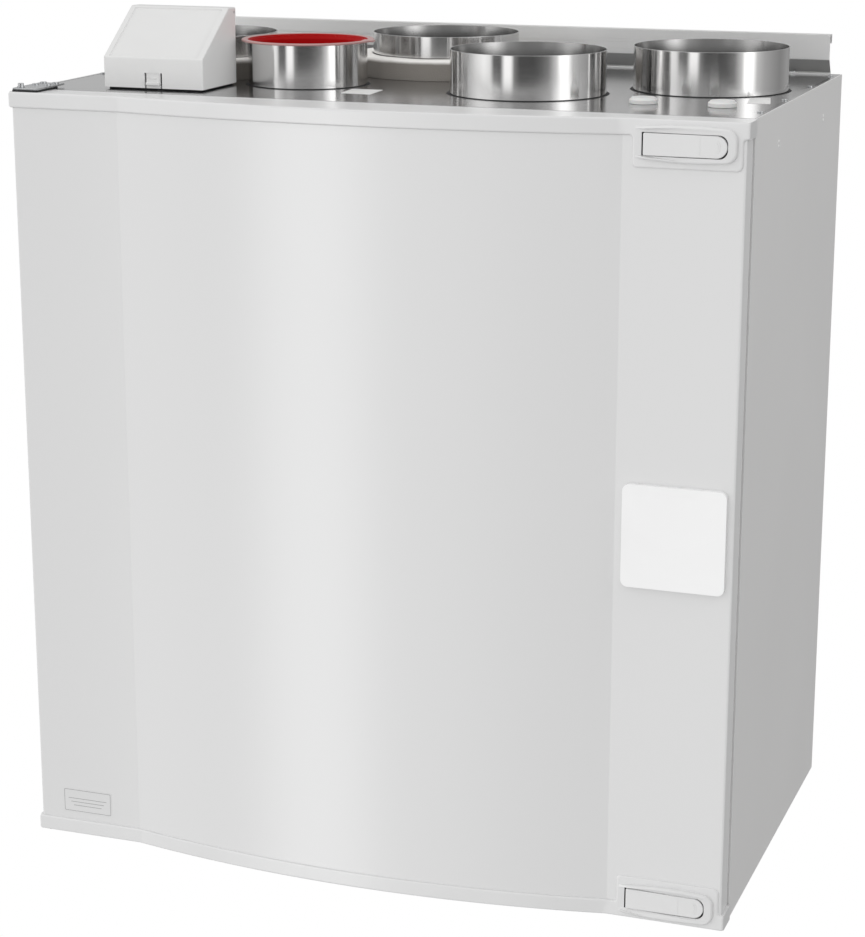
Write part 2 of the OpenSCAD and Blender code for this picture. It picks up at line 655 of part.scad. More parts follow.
module door_inner_panel() {
  color([0.8, 0.8, 0.8]) front() difference() {
    box([-skin_hw + 1.4, -4.5, cap_h + 1], [skin_hw - 1.4, -3, cab_h - cap_h - 1]);
    latch_rooms(0.3);
  }
}
module door_insulation() {
  color([0.85, 0.8, 0.6]) front() difference() {
    translate([0, 0, cap_h + 1]) linear_extrude(cab_h - 2 * cap_h - 2) door_plan(-1.4, skin_hw - 1.4, -4.6);
    latch_rooms(0.6);
  }
}
module door_gasket() {
  color([0.15, 0.15, 0.15]) front() along_y(-3, -0.3) difference() {
    rrect([-350, 46], [350, cab_h - 45], 12);
    rrect([-338, 58], [338, cab_h - 57], 4);
  }
}
// end cap drawn as the top one: its outer face is at z = cab_h, its latch centre at z = lz
module end_cap(lz) {
  difference() {
    union() {
      difference() {
        translate([0, 0, cab_h - cap_h]) linear_extrude(cap_h) door_plan(cap_over, cap_hw, -0.5);
        translate([0, 0, cab_h - cap_h - 1]) linear_extrude(cap_h - 1.5) door_plan(cap_over - 2.5, cap_hw - 2.5, -3);
      }
      // hinge block
      box([-cap_hw + 1, -door_t - 1, cab_h - cap_h], [hinge_x + 9, -13, cab_h - 2.6]);
      // latch lobe and raised bezel
      along_y(-door_t - cap_over, -door_t - 0.05) rrect([272.6, lz - 22.6], [378.3, cab_h - 1], 5);
      along_y(-door_t - cap_over - 4, -door_t - 1) rrect([280, lz - 18.6], [373, lz + 17.6], 9);
      // latch housing
      box([279.5, -door_t - 1, lz - 14.5], [330, -24.5, lz + 14.5]);
      box([324.5, -door_t - 1, lz - 15.5], [376.5, -3, lz + 15.5]);
    }
    // lever recess
    along_y(-45, -27.5) {
      translate([281.8, lz - lever_h / 2 - 0.7]) square([353.3 - 281.8, lever_h + 1.4]);
      translate([353.3, lz]) circle(r = lever_h / 2 + 0.7, $fn = 60);
    }
    rod_z(lz - lever_h / 2 - 0.7, lz + lever_h / 2 + 0.7, piv_x, piv_y, 15.2, 60);
    box([327, -29, lz - 12.5], [374, 1, lz + 12.5]);
    rod_z(lz - 20, lz + 15.6, piv_x, piv_y, 2.55);
    // room at the hinge side
    box([-cap_hw - 1, -6, cab_h - cap_h - 1], [-340, 1, cab_h + 1]);
    rod_z(cab_h - cap_h - 1, cab_h + 1, hinge_x, hinge_y, 3.05);
  }
}
module door_top_cap() { color(white) front() end_cap(cab_h - latch_top); }
module door_bottom_cap() {
  color(white) front() difference() {
    translate([0, 0, cab_h]) mirror([0, 0, 1]) end_cap(cab_h - latch_bottom);
    // room for the lower hinge plate
    rod_z(-1, 2.5, hinge_x, hinge_y, 7.4);
    intersection() {
      rod_z(-1, 2.5, hinge_x, hinge_y, 29.6);
      box([hinge_x - 12, hinge_y - 1.8, -1], [hinge_x + 40, 5, 2.5]);
    }
  }
}
module latch_lever(z) {
  h = lever_h / 2;
  color(white) front() {
    difference() {
      along_y(-door_t - 5.5, -door_t - 0.5) {
        translate([283.6, z - h]) square([353.3 - 283.6, 2 * h]);
        translate([353.3, z]) circle(r = h, $fn = 60);
      }
      difference() {
        box([piv_x, -50, z - 20], [380, 0, z + 20]);
        rod_z(z - 21, z + 21, piv_x, piv_y, 14.4, 60);
      }
    }
    rod_z(z - h, z + h, piv_x, piv_y, 5.5);
    rod_z(z - 15.2, z + 15.2, piv_x, piv_y, 2.5);
    box([349, -24, z - 5], [355, -4, z + 5]);
    box([354, -7, z - 5], [361, -4, z + 5]);
  }
}
module upper_latch_lever() { latch_lever(cab_h - latch_top); }
module lower_latch_lever() { latch_lever(latch_bottom); }
module control_panel() {
  color([0.95, 0.95, 0.95]) front() {
    along_y(-door_t - 5.4, -door_t) rrect([271, 351.7], [374.3, 455.4], 7);
  }
}

left_side_panel();
right_side_panel();
rear_panel();
bottom_panel();
top_plate();
insulation_lining();
front_frame();
hinge_plates();
hinge_pins();
wall_bracket();
plate_screws();
side_rivets();
latch_keepers();
outdoor_air_spigot();
exhaust_air_spigot();
supply_air_spigot();
extract_air_spigot();
cooker_hood_spigot();
spigot_seals();
spigot_insulation();
blanking_plugs();
terminal_box_base();
terminal_box_gasket();
terminal_blocks();
cable_glands();
mid_shelves();
fan_deck();
air_shafts();
rotor_cassette();
rotor_axle();
rotor_brush_seals();
rotor_belt();
rotor_motor();
supply_filter();
extract_filter();
supply_fan_scroll();
supply_fan_motor();
extract_fan_scroll();
extract_fan_motor();
after_heater();
control_box();
wiring_harness();
door_skin();
door_inner_panel();
door_insulation();
door_top_cap();
door_bottom_cap();
door_gasket();
control_panel();
upper_latch_lever();
lower_latch_lever();
terminal_box_cover();
cooker_hood_plug();
rotor_rim();
rotor_matrix();
rotor_hub();
motor_pulley();
supply_fan_wheel();
extract_fan_wheel();
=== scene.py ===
import math
import random

import bmesh
import bpy
from mathutils import Matrix, Vector
from mathutils.geometry import delaunay_2d_cdt


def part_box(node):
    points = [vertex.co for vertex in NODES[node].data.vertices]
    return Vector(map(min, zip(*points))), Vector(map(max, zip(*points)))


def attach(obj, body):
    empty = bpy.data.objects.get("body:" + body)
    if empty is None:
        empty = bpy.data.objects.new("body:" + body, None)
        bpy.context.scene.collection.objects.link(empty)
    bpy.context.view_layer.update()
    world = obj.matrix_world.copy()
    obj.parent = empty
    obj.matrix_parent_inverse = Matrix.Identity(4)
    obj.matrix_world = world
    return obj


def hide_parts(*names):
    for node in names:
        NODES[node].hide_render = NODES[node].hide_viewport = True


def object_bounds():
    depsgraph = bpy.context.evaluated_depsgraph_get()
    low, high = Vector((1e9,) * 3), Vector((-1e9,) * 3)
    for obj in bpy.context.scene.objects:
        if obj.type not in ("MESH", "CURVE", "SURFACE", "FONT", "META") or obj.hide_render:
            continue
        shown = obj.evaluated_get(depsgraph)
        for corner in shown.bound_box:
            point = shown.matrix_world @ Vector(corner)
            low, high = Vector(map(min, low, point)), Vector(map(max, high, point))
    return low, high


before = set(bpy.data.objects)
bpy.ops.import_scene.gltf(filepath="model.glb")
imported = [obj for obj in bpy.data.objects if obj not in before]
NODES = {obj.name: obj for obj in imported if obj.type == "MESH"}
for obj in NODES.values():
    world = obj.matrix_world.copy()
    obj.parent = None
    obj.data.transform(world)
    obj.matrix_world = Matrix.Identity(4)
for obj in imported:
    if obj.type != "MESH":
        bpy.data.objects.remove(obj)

CAD_BOX = [[float(c) for c in v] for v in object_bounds()]
SCENE = bpy.context.scene
MM = 0.001

# ------------------------------------------------------------------ places, read from the frame, save the door thickness and the bow's half width, which are given

lo, hi = (Vector(v) for v in CAD_BOX)
side_lo, side_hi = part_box("right_side_panel")
HW = side_hi.x / MM                       # half width over the side panels
CAB_D = (side_hi.y - side_lo.y) / MM
CAB_H = side_hi.z / MM
Y0 = side_lo.y / MM                       # the cabinet's front plane; g is measured from it
skin_lo, skin_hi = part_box("door_skin")
DOOR_T = 29.0
BOW = -(skin_lo.y / MM - Y0) - DOOR_T
BOW_HALF = 262.0
BOW_R = (BOW_HALF ** 2 + BOW ** 2) / (2 * BOW)
SKIN_HW = skin_hi.x / MM
CAP_HW = HW + 1.5
LEV_U = sum(v.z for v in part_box("upper_latch_lever")) / 2 / MM
LEV_L = sum(v.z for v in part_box("lower_latch_lever")) / 2 / MM


def P(x, g, z):
    """millimetres, g from the cabinet's front plane, to metres in the row frame"""
    return Vector((x * MM, (Y0 + g) * MM, z * MM))


def bow_at(x):
    """how far the door face stands out past the flat strips at x, in millimetres"""
    if abs(x) >= BOW_HALF:
        return 0.0
    return math.sqrt(BOW_R ** 2 - x * x) - (BOW_R - BOW)


# ------------------------------------------------------------------ materials

class Mat:
    def __init__(self, name):
        self.m = bpy.data.materials.new(name)
        self.m.use_nodes = True
        self.t = self.m.node_tree
        self.n = self.t.nodes
        self.b = self.n["Principled BSDF"]
        self.co = self.n.new("ShaderNodeTexCoord").outputs["Object"]

    def set(self, **kw):
        for k, v in kw.items():
            self.b.inputs[k.replace("_", " ")].default_value = v
        return self

    def link(self, a, b):
        self.t.links.new(a, b)

    def mapped(self, scale=(1, 1, 1), co=None):
        m = self.n.new("ShaderNodeMapping")
        m.inputs["Scale"].default_value = scale
        self.link(co or self.co, m.inputs["Vector"])
        return m.outputs["Vector"]

    def noise(self, scale, detail=2.0, rough=0.5, co=None, stretch=None, distortion=0.0):
        t = self.n.new("ShaderNodeTexNoise")
        t.inputs["Scale"].default_value = scale
        t.inputs["Detail"].default_value = detail
        t.inputs["Roughness"].default_value = rough
        t.inputs["Distortion"].default_value = distortion
        self.link(self.mapped(stretch, co) if stretch else (co or self.co), t.inputs["Vector"])
        return t.outputs["Fac"]

    def voronoi(self, scale, feature="F1", out="Distance", co=None, stretch=None, rand=1.0):
        t = self.n.new("ShaderNodeTexVoronoi")
        t.feature = feature
        t.inputs["Scale"].default_value = scale
        t.inputs["Randomness"].default_value = rand
        self.link(self.mapped(stretch, co) if stretch else (co or self.co), t.inputs["Vector"])
        return t.outputs[out]

    def ramp(self, fac, stops):
        r = self.n.new("ShaderNodeValToRGB")
        e = r.color_ramp.elements
        while len(e) < len(stops):
            e.new(0.5)
        for el, (pos, col) in zip(e, stops):
            el.position = pos
            el.color = (*col, 1) if len(col) == 3 else col
        self.link(fac, r.inputs["Fac"])
        return r.outputs["Color"]

    def span(self, fac, a, b, lo_=0.0, hi_=1.0):
        r = self.n.new("ShaderNodeMapRange")
        r.inputs["From Min"].default_value = lo_
        r.inputs["From Max"].default_value = hi_
        r.inputs["To Min"].default_value = a
        r.inputs["To Max"].default_value = b
        self.link(fac, r.inputs["Value"])
        return r.outputs["Result"]

    def math(self, op, a, b):
        m = self.n.new("ShaderNodeMath")
        m.operation = op
        for s, v in zip(m.inputs, (a, b)):
            if isinstance(v, (int, float)):
                s.default_value = v
            else:
                self.link(v, s)
        return m.outputs[0]

    def mixc(self, fac, a, b):
        m = self.n.new("ShaderNodeMix")
        m.data_type = "RGBA"
        fi, ai, bi = m.inputs[0], m.inputs[6], m.inputs[7]
        for s, v in ((fi, fac), (ai, a), (bi, b)):
            if hasattr(v, "is_linked"):
                self.link(v, s)
            elif isinstance(v, (int, float)):
                s.default_value = v
            else:
                s.default_value = (*v, 1)
        return m.outputs[2]

    def bump(self, height, dist, strength=1.0, normal=None):
        b = self.n.new("ShaderNodeBump")
        b.inputs["Strength"].default_value = strength
        b.inputs["Distance"].default_value = dist
        self.link(height, b.inputs["Height"])
        if normal:
            self.link(normal, b.inputs["Normal"])
        return b.outputs["Normal"]

    def base(self, col):
        if hasattr(col, "is_linked"):
            self.link(col, self.b.inputs["Base Color"])
        else:
            self.b.inputs["Base Color"].default_value = (*col, 1)
        return self

    def rough(self, v):
        if hasattr(v, "is_linked"):
            self.link(v, self.b.inputs["Roughness"])
        else:
            self.b.inputs["Roughness"].default_value = v
        return self

    def normal(self, v):
        self.link(v, self.b.inputs["Normal"])
        return self


def tint(c, k):
    return tuple(min(1.0, x * k) for x in c)


def powder_coat(name, col, rough=0.42, peel=0.6, coat=0.0, vary=1.0):
    """sprayed and baked paint: orange peel, a breath of mottling, slight gloss changes"""
    m = Mat(name)
    big = m.noise(5.0, 3)
    fine = m.noise(1400.0, 2, 0.6)
    mid = m.noise(260.0, 2)
    m.base(m.ramp(big, [(0.25, tint(col, 1 - 0.015 * vary)), (0.75, tint(col, 1 + 0.012 * vary))]))
    m.rough(m.span(m.noise(40.0, 3), rough - 0.03 * vary, rough + 0.04 * vary))
    m.normal(m.bump(fine, 0.00001 * peel, 0.5, m.bump(mid, 0.00004 * peel * vary, 0.35)))
    m.set(IOR=1.5, Coat_Weight=coat, Coat_Roughness=0.2)
    return m.m


def moulded(name, col, rough=0.38, grain=1.0, spec=0.5, sss=0.0):
    """injection-moulded plastic: fine spark-erosion grain and faint flow mottling"""
    m = Mat(name)
    g = m.noise(2600.0, 3, 0.7)
    m.base(m.ramp(m.noise(9.0, 3, 0.55, distortion=0.6), [(0.3, tint(col, 0.975)), (0.7, tint(col, 1.015))]))
    m.rough(m.span(m.noise(90.0, 2), rough - 0.03, rough + 0.05))
    m.normal(m.bump(g, 0.000012 * grain, 0.6))
    m.set(Specular_IOR_Level=spec)
    if sss:
        m.set(Subsurface_Weight=sss, Subsurface_Scale=0.002)
    return m.m


def rolled_steel(name, col, rough=0.24, along="x", brush=1.0, spangle=0.0, aniso=0.0, mottle=0.06, vary=1.0):
    """bare sheet: fine rolling lines, a zinc bloom and soft gloss changes"""
    m = Mat(name)
    st = {"x": (14, 900, 900), "y": (900, 14, 900), "z": (900, 900, 14), "round": (60, 60, 1800)}[along]
    lines = m.noise(1.0, 4, 0.65, stretch=st)
    cloud = m.noise(7.0, 4, 0.6, distortion=0.4)
    colr = m.ramp(cloud, [(0.28, tint(col, 1 - mottle)), (0.72, tint(col, 1 + mottle))])
    rg = m.span(m.math("ADD", m.math("MULTIPLY", lines, 0.6), m.math("MULTIPLY", cloud, 0.4)), rough - 0.07 * vary, rough + 0.09 * vary, 0.3, 0.7)
    if spangle:
        v = m.voronoi(85.0, out="Color")
        s = m.n.new("ShaderNodeSeparateColor")
        m.link(v, s.inputs["Color"])
        colr = m.mixc(m.span(s.outputs["Red"], 0.0, spangle), colr, tint(col, 1.35))
        rg = m.math("ADD", rg, m.span(s.outputs["Green"], -0.05 * spangle * 3, 0.06 * spangle * 3))
    m.base(colr)
    m.rough(rg)
    m.normal(m.bump(lines, 0.000006 * brush, 0.5, m.bump(m.noise(18.0, 2), 0.00012 * brush, 0.08)))
    m.set(Metallic=1.0)
    if aniso:
        tg = m.n.new("ShaderNodeTangent")
        tg.direction_type, tg.axis = "RADIAL", "Z"
        m.link(tg.outputs[0], m.b.inputs["Tangent"])
        m.set(Anisotropic=aniso, Anisotropic_Rotation=0.25)
    return m.m


def folded_rail(name):
    """dull zinc sheet, satin; its colour holds painted light, pale on the upright face and the foot, and painted shade,
    dark on the slanted undercut between them
    """
    m = Mat(name)
    lines = m.noise(1.0, 4, 0.65, stretch=(14, 700, 700))
    cloud = m.noise(9.0, 4, 0.6, distortion=0.4)
    sep_ = m.n.new("ShaderNodeSeparateXYZ")
    m.link(m.co, sep_.inputs[0])
    # painted light and shade: above the upright's lower edge and at the foot the colour is pale, on the slanted face
    # between them it is dark
    lit_upright_mask = m.span(sep_.outputs["Z"], 0.0, 1.0, (CAB_H + 15.4) * MM, (CAB_H + 16.4) * MM)
    foot = m.span(sep_.outputs["Z"], 1.0, 0.0, (CAB_H + 1.4) * MM, (CAB_H + 2.2) * MM)
    k = m.math("MAXIMUM", lit_upright_mask, foot)
    m.base(m.mixc(k, m.ramp(cloud, [(0.3, (0.27, 0.27, 0.27)), (0.7, (0.30, 0.30, 0.295))]),
                  m.ramp(cloud, [(0.28, (0.84, 0.84, 0.835)), (0.72, (0.88, 0.88, 0.875))])))
    m.rough(m.span(lines, 0.36, 0.46, 0.3, 0.7))
    m.normal(m.bump(lines, 0.000004, 0.5))
    m.set(Metallic=0.5)
    return m.m


def foam(name, col, cell=700.0, depth=0.0003, rough=0.95, edge=0.2, top=None):
    """open or closed cell foam: small pits and soft mottling"""
    m = Mat(name)
    cells = m.voronoi(cell)
    pit = m.span(cells, 0.0, 1.0, 0.05, 0.5)
    # painted shade: the pit bottoms at the cell centres are darkened by the edge amount
    colr = m.mixc(m.span(cells, edge, 0.0, 0.0, 0.35), col, tint(col, 0.55))
    colr = m.mixc(m.span(m.noise(22.0, 4, 0.6), 0.0, 0.35, 0.35, 0.75), colr, tint(col, 1.12))
    if top:
        # painted light: the upper face gets the pale top colour and the side keeps the darker one, as if lit from
        # above; the border between them is wobbled by noise
        sep_ = m.n.new("ShaderNodeSeparateXYZ")
        m.link(m.co, sep_.inputs[0])
        edge_wobble = m.math("MULTIPLY", m.noise(60.0, 3), 0.0016)
        painted_top_light = m.span(m.math("ADD", sep_.outputs["Z"], edge_wobble), 0.0, 1.0, (CAB_H + 17.8) * MM, (CAB_H + 21.0) * MM)
        colr = m.mixc(painted_top_light, colr, m.mixc(m.span(cells, edge, 0.0, 0.0, 0.35), top, tint(top, 0.7)))
    m.base(colr)
    m.rough(rough)
    m.normal(m.bump(pit, depth, 0.6, m.bump(m.noise(120.0, 3), 0.0006, 0.35)))
    m.set(Sheen_Weight=0.15, Sheen_Roughness=0.6)
    return m.m


def beads(name, col):
    """moulded particle foam: packed beads with dark joints between them"""
    m = Mat(name)
    d = m.voronoi(230.0, feature="DISTANCE_TO_EDGE")
    c = m.voronoi(230.0, out="Color")
    s = m.n.new("ShaderNodeSeparateColor")
    m.link(c, s.inputs["Color"])
    colr = m.mixc(m.span(s.outputs["Red"], 0.0, 0.5), col, tint(col, 1.5))
    colr = m.mixc(m.span(d, 0.75, 0.0, 0.0, 0.12), colr, tint(col, 0.35))
    m.base(colr)
    m.rough(m.span(s.outputs["Green"], 0.62, 0.85))
    m.normal(m.bump(m.span(d, 0.0, 1.0, 0.0, 0.3), 0.0004, 0.6))
    return m.m


def rubber(name, col=(0.012, 0.012, 0.013), rough=0.62):
    m = Mat(name)
    m.base(m.ramp(m.noise(30.0, 3), [(0.3, col), (0.7, tint(col, 2.0))]))
    m.rough(m.span(m.noise(300.0, 2), rough - 0.1, rough + 0.12))
    m.normal(m.bump(m.noise(2200.0, 3, 0.7), 0.00002, 0.6))
    return m.m


def bristle(name):
    m = Mat(name)
    f = m.noise(1.0, 3, 0.8, stretch=(90, 1600, 1600))
    m.base(m.ramp(f, [(0.35, (0.008, 0.008, 0.008)), (0.65, (0.05, 0.05, 0.05))]))
    m.rough(0.8)
    m.normal(m.bump(f, 0.0004, 0.9))
    return m.m


def fleece(name, col):
    m = Mat(name)
    f = m.noise(1500.0, 6, 0.8, distortion=1.5)
    w = m.noise(320.0, 5, 0.7, distortion=2.0)
    m.base(m.ramp(w, [(0.25, tint(col, 0.86)), (0.75, tint(col, 1.05))]))
    m.rough(0.92)
    m.normal(m.bump(f, 0.00012, 0.8, m.bump(w, 0.0004, 0.5)))
    m.set(Sheen_Weight=0.35, Sheen_Roughness=0.5)
    return m.m


def mineral(name, col):
    m = Mat(name)
    f = m.noise(1.0, 6, 0.8, stretch=(160, 900, 320), distortion=1.2)
    m.base(m.ramp(f, [(0.25, tint(col, 0.6)), (0.75, tint(col, 1.15))]))
    m.rough(0.97)
    m.normal(m.bump(f, 0.0012, 0.8))
    m.set(Sheen_Weight=0.3)
    return m.m


def foil(name):
    """thin aluminium corrugations seen end on; the troughs are painted dark and the ridges pale, as painted shade and
    light
    """
    m = Mat(name)
    w = m.noise(1.0, 3, 0.7, stretch=(4, 1500, 1500))
    # painted shade and light: where the bump is low the colour is dark, where it is high the colour is pale
    m.base(m.ramp(w, [(0.3, (0.42, 0.43, 0.44)), (0.7, (0.82, 0.83, 0.84))]))
    m.rough(m.span(w, 0.2, 0.5))
    m.normal(m.bump(w, 0.0005, 0.7))
    m.set(Metallic=1.0)
    return m.m


WHITE = (0.760, 0.756, 0.752)
M = {
    "white_paint": powder_coat("white_paint", WHITE, 0.40),
    "door_paint": powder_coat("door_paint", (0.757, 0.757, 0.757), 0.27, 0.4, 0.0, 0.1),
    "cap_plastic": moulded("cap_plastic", (0.765, 0.765, 0.765), 0.29, 0.6),
    "lever_plastic": moulded("lever_plastic", (0.785, 0.785, 0.785), 0.34, 0.8),
    "galvanised": rolled_steel("galvanised", (0.50, 0.50, 0.51), 0.34, "x", 1.0, 0.25),
    "plate_steel": rolled_steel("plate_steel", (0.55, 0.55, 0.555), 0.15, "x", 0.12, 0.0, 0.0, 0.03, 0.3),
    "bracket_steel": folded_rail("bracket_steel"),
    "zinc_fasteners": rolled_steel("zinc_fasteners", (0.62, 0.63, 0.64), 0.28, "z", 0.4),
    "spigot_steel": rolled_steel("spigot_steel", (0.66, 0.655, 0.65), 0.13, "round", 0.5, 0.0, 0.9, 0.03, 0.35),
    "moulded_foam": beads("moulded_foam", (0.045, 0.045, 0.048)),
    "mineral_wool": mineral("mineral_wool", (0.55, 0.47, 0.25)),
    "black_rubber": rubber("black_rubber"),
    "brush": bristle("brush"),
    # the dark tone is partly the foam's own and partly painted shade on the side; top is the pale painted light of the
    # rings' upper face
    "foam_ring": foam("foam_ring", (0.29, 0.27, 0.245), top=(0.96, 0.94, 0.91)),
    "white_plastic": moulded("white_plastic", (0.75, 0.75, 0.745), 0.42, 1.2),
    "plug_white": moulded("plug_white", (0.80, 0.80, 0.79), 0.42, 1.0, 0.5, 0.05),
    "grey_plastic": moulded("grey_plastic", (0.33, 0.34, 0.35), 0.45, 1.2),
    "gloss_white": moulded("gloss_white", (0.955, 0.955, 0.955), 0.16, 0.15, 0.5),
    "red_plastic": moulded("red_plastic", (0.42, 0.002, 0.003), 0.46, 0.8, 0.10),
    "black_plastic": moulded("black_plastic", (0.022, 0.022, 0.024), 0.42, 1.2),
    "dark_metal": rolled_steel("dark_metal", (0.10, 0.10, 0.105), 0.42, "x", 0.6),
    "aluminium_foil": foil("aluminium_foil"),
    "filter_fleece": fleece("filter_fleece", (0.80, 0.81, 0.80)),
    "paper": moulded("paper", (0.86, 0.86, 0.85), 0.55, 0.6),
    "label_plate": moulded("label_plate", (0.745, 0.745, 0.745), 0.40, 0.5),
    "label_line": moulded("label_line", (0.34, 0.34, 0.34), 0.5, 0.5),
    "plug_rim": moulded("plug_rim", (0.50, 0.27, 0.26), 0.30, 0.6, 0.6, 0.05),
    # a darker copy of spigot_steel for the collars' inner walls: painted shade inside the tubes
    "spigot_inside_shaded": rolled_steel("spigot_inside_shaded", (0.38, 0.378, 0.375), 0.16, "round", 0.5, 0.0, 0.6, 0.03, 0.35),
}


def clean_cad(name, mat, bevel=0.6, angle=30.0, segments=2, smooth=35.0):
    """a CAD node keeps its mesh; weld and bevel modifiers round its edges, and it gets its own finish"""
    o = NODES[name]
    me = o.data
    me.materials.clear()
    me.materials.append(M[mat])
    if bevel:
        for a in [a.name for a in me.attributes if a.name == "custom_normal"]:
            me.attributes.remove(me.attributes[a])
        me.polygons.foreach_set("use_smooth", [True] * len(me.polygons))
        w = o.modifiers.new("weld", "WELD")
        w.merge_threshold = 0.00001
        b = o.modifiers.new("bevel", "BEVEL")
        b.width = bevel * MM
        b.segments = segments
        b.limit_method = "ANGLE"
        b.angle_limit = math.radians(angle)
        b.use_clamp_overlap = True
        b.harden_normals = False
        b.miter_outer = "MITER_ARC"
        wn_ = o.modifiers.new("normals", "WEIGHTED_NORMAL")
        wn_.weight = 90
    return o


CAD_LOOK = {
    "left_side_panel": ("white_paint", 0.3), "right_side_panel": ("white_paint", 0.3),
    "rear_panel": ("galvanised", 0.5), "bottom_panel": ("galvanised", 0.5),
    "top_plate": ("plate_steel", 0.4), "insulation_lining": ("moulded_foam", 2.5),
    "front_frame": ("white_paint", 0.5), "hinge_plates": ("zinc_fasteners", 0.4),
    "hinge_pins": ("zinc_fasteners", 0.4), "wall_bracket": ("bracket_steel", 0.3),
    # side rivets take the paler gloss white so they show as bright dots: painted highlight on the small heads
    "plate_screws": ("zinc_fasteners", 0.3), "side_rivets": ("gloss_white", 0.2),
    "latch_keepers": ("zinc_fasteners", 0.3),
    "outdoor_air_spigot": ("spigot_steel", 0.3), "exhaust_air_spigot": ("spigot_steel", 0.3),
    "supply_air_spigot": ("spigot_steel", 0.3), "extract_air_spigot": ("spigot_steel", 0.3),
    "cooker_hood_spigot": ("spigot_steel", 0.3), "spigot_seals": ("black_rubber", 0.5),
    "spigot_insulation": ("foam_ring", 2.0), "blanking_plugs": ("plug_white", 0.8),
    "terminal_box_base": ("grey_plastic", 0.4), "terminal_box_gasket": ("black_rubber", 0.3),
    "terminal_blocks": ("grey_plastic", 0.4), "cable_glands": ("black_plastic", 0.4),
    "mid_shelves": ("galvanised", 0.3), "fan_deck": ("galvanised", 0.3), "air_shafts": ("galvanised", 0.3),
    "rotor_cassette": ("galvanised", 0.4), "rotor_axle": ("zinc_fasteners", 0.6),
    "rotor_brush_seals": ("brush", 0.0), "rotor_belt": ("black_rubber", 0.3),
    "rotor_motor": ("dark_metal", 0.8), "supply_filter": ("filter_fleece", 0.0),
    "extract_filter": ("filter_fleece", 0.0), "supply_fan_scroll": ("black_plastic", 1.0),
    "supply_fan_motor": ("dark_metal", 0.6), "extract_fan_scroll": ("black_plastic", 1.0),
    "extract_fan_motor": ("dark_metal", 0.6), "after_heater": ("galvanised", 0.4),
    "control_box": ("galvanised", 0.5), "wiring_harness": ("black_rubber", 0.0),
    "door_skin": ("door_paint", 0.0), "door_inner_panel": ("galvanised", 0.3),
    "door_insulation": ("mineral_wool", 0.0), "door_top_cap": ("cap_plastic", 0.8),
    "door_bottom_cap": ("cap_plastic", 0.8), "door_gasket": ("black_rubber", 0.8),
    "control_panel": ("gloss_white", 1.4), "upper_latch_lever": ("lever_plastic", 0.7),
    "lower_latch_lever": ("lever_plastic", 0.7), "terminal_box_cover": ("white_plastic", 1.2),
    "cooker_hood_plug": ("red_plastic", 0.6), "rotor_rim": ("galvanised", 0.4),
    "rotor_matrix": ("aluminium_foil", 0.0), "rotor_hub": ("zinc_fasteners", 0.8),
    "motor_pulley": ("zinc_fasteners", 0.5), "supply_fan_wheel": ("black_plastic", 0.3),
    "extract_fan_wheel": ("black_plastic", 0.3),
}
for node_name, (mat_name, bevel_mm) in CAD_LOOK.items():
    clean_cad(node_name, mat_name, bevel_mm)

# ------------------------------------------------------------------ mesh helpers

def finish_mesh(bm, name, mat, body, sharp=32.0, weighted=True):
    bmesh.ops.remove_doubles(bm, verts=bm.verts, dist=1e-6)
    bmesh.ops.recalc_face_normals(bm, faces=bm.faces)
    me = bpy.data.meshes.new(name)
    bm.to_mesh(me)
    bm.free()
    return finish_object(me, name, mat, body, sharp, weighted)


def finish_object(me, name, mat, body, sharp=32.0, weighted=True):
    o = bpy.data.objects.new(name, me)
    SCENE.collection.objects.link(o)
    me.materials.clear()
    me.materials.append(M[mat])
    me.polygons.foreach_set("use_smooth", [True] * len(me.polygons))
    me.set_sharp_from_angle(angle=math.radians(sharp))
    if weighted:
        wn_ = o.modifiers.new("normals", "WEIGHTED_NORMAL")
        wn_.keep_sharp = True
        wn_.weight = 80
    if body:
        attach(o, body)
    return o


def temp(bm, name="tmp"):
    bmesh.ops.remove_doubles(bm, verts=bm.verts, dist=1e-7)
    bmesh.ops.recalc_face_normals(bm, faces=bm.faces)
    me = bpy.data.meshes.new(name)
    bm.to_mesh(me)
    bm.free()
    o = bpy.data.objects.new(name, me)
    SCENE.collection.objects.link(o)
    return o


def boolean(o, cutters, op="DIFFERENCE"):
    """carry out a boolean with closed solids and keep only its result"""
    for c in cutters if isinstance(cutters, (list, tuple)) else [cutters]:
        m = o.modifiers.new("b", "BOOLEAN")
        m.operation = op
        m.solver = "EXACT"
        m.object = c
        bpy.context.view_layer.update()
        dg = bpy.context.evaluated_depsgraph_get()
        me = bpy.data.meshes.new_from_object(o.evaluated_get(dg))
        o.modifiers.clear()
        old = o.data
        o.data = me
        bpy.data.meshes.remove(old)
        dead = c.data
        bpy.data.objects.remove(c)
        bpy.data.meshes.remove(dead)
    return o


def bevel_temp(o, width, segments=3, angle=30.0):
    m = o.modifiers.new("bv", "BEVEL")
    m.width = width * MM
    m.segments = segments
    m.limit_method = "ANGLE"
    m.angle_limit = math.radians(angle)
    m.miter_outer = "MITER_ARC"
    bpy.context.view_layer.update()
    dg = bpy.context.evaluated_depsgraph_get()
    me = bpy.data.meshes.new_from_object(o.evaluated_get(dg))
    o.modifiers.clear()
    old = o.data
    o.data = me
    bpy.data.meshes.remove(old)
    return o


def settle(o, name, mat, body, sharp=32.0, weighted=True):
    """turn a temporary solid into a finished piece"""
    bm = bmesh.new()
    bm.from_mesh(o.data)
    bmesh.ops.dissolve_degenerate(bm, edges=bm.edges, dist=1e-6)
    old = o.data
    bpy.data.objects.remove(o)
    bpy.data.meshes.remove(old)
    return finish_mesh(bm, name, mat, body, sharp, weighted)


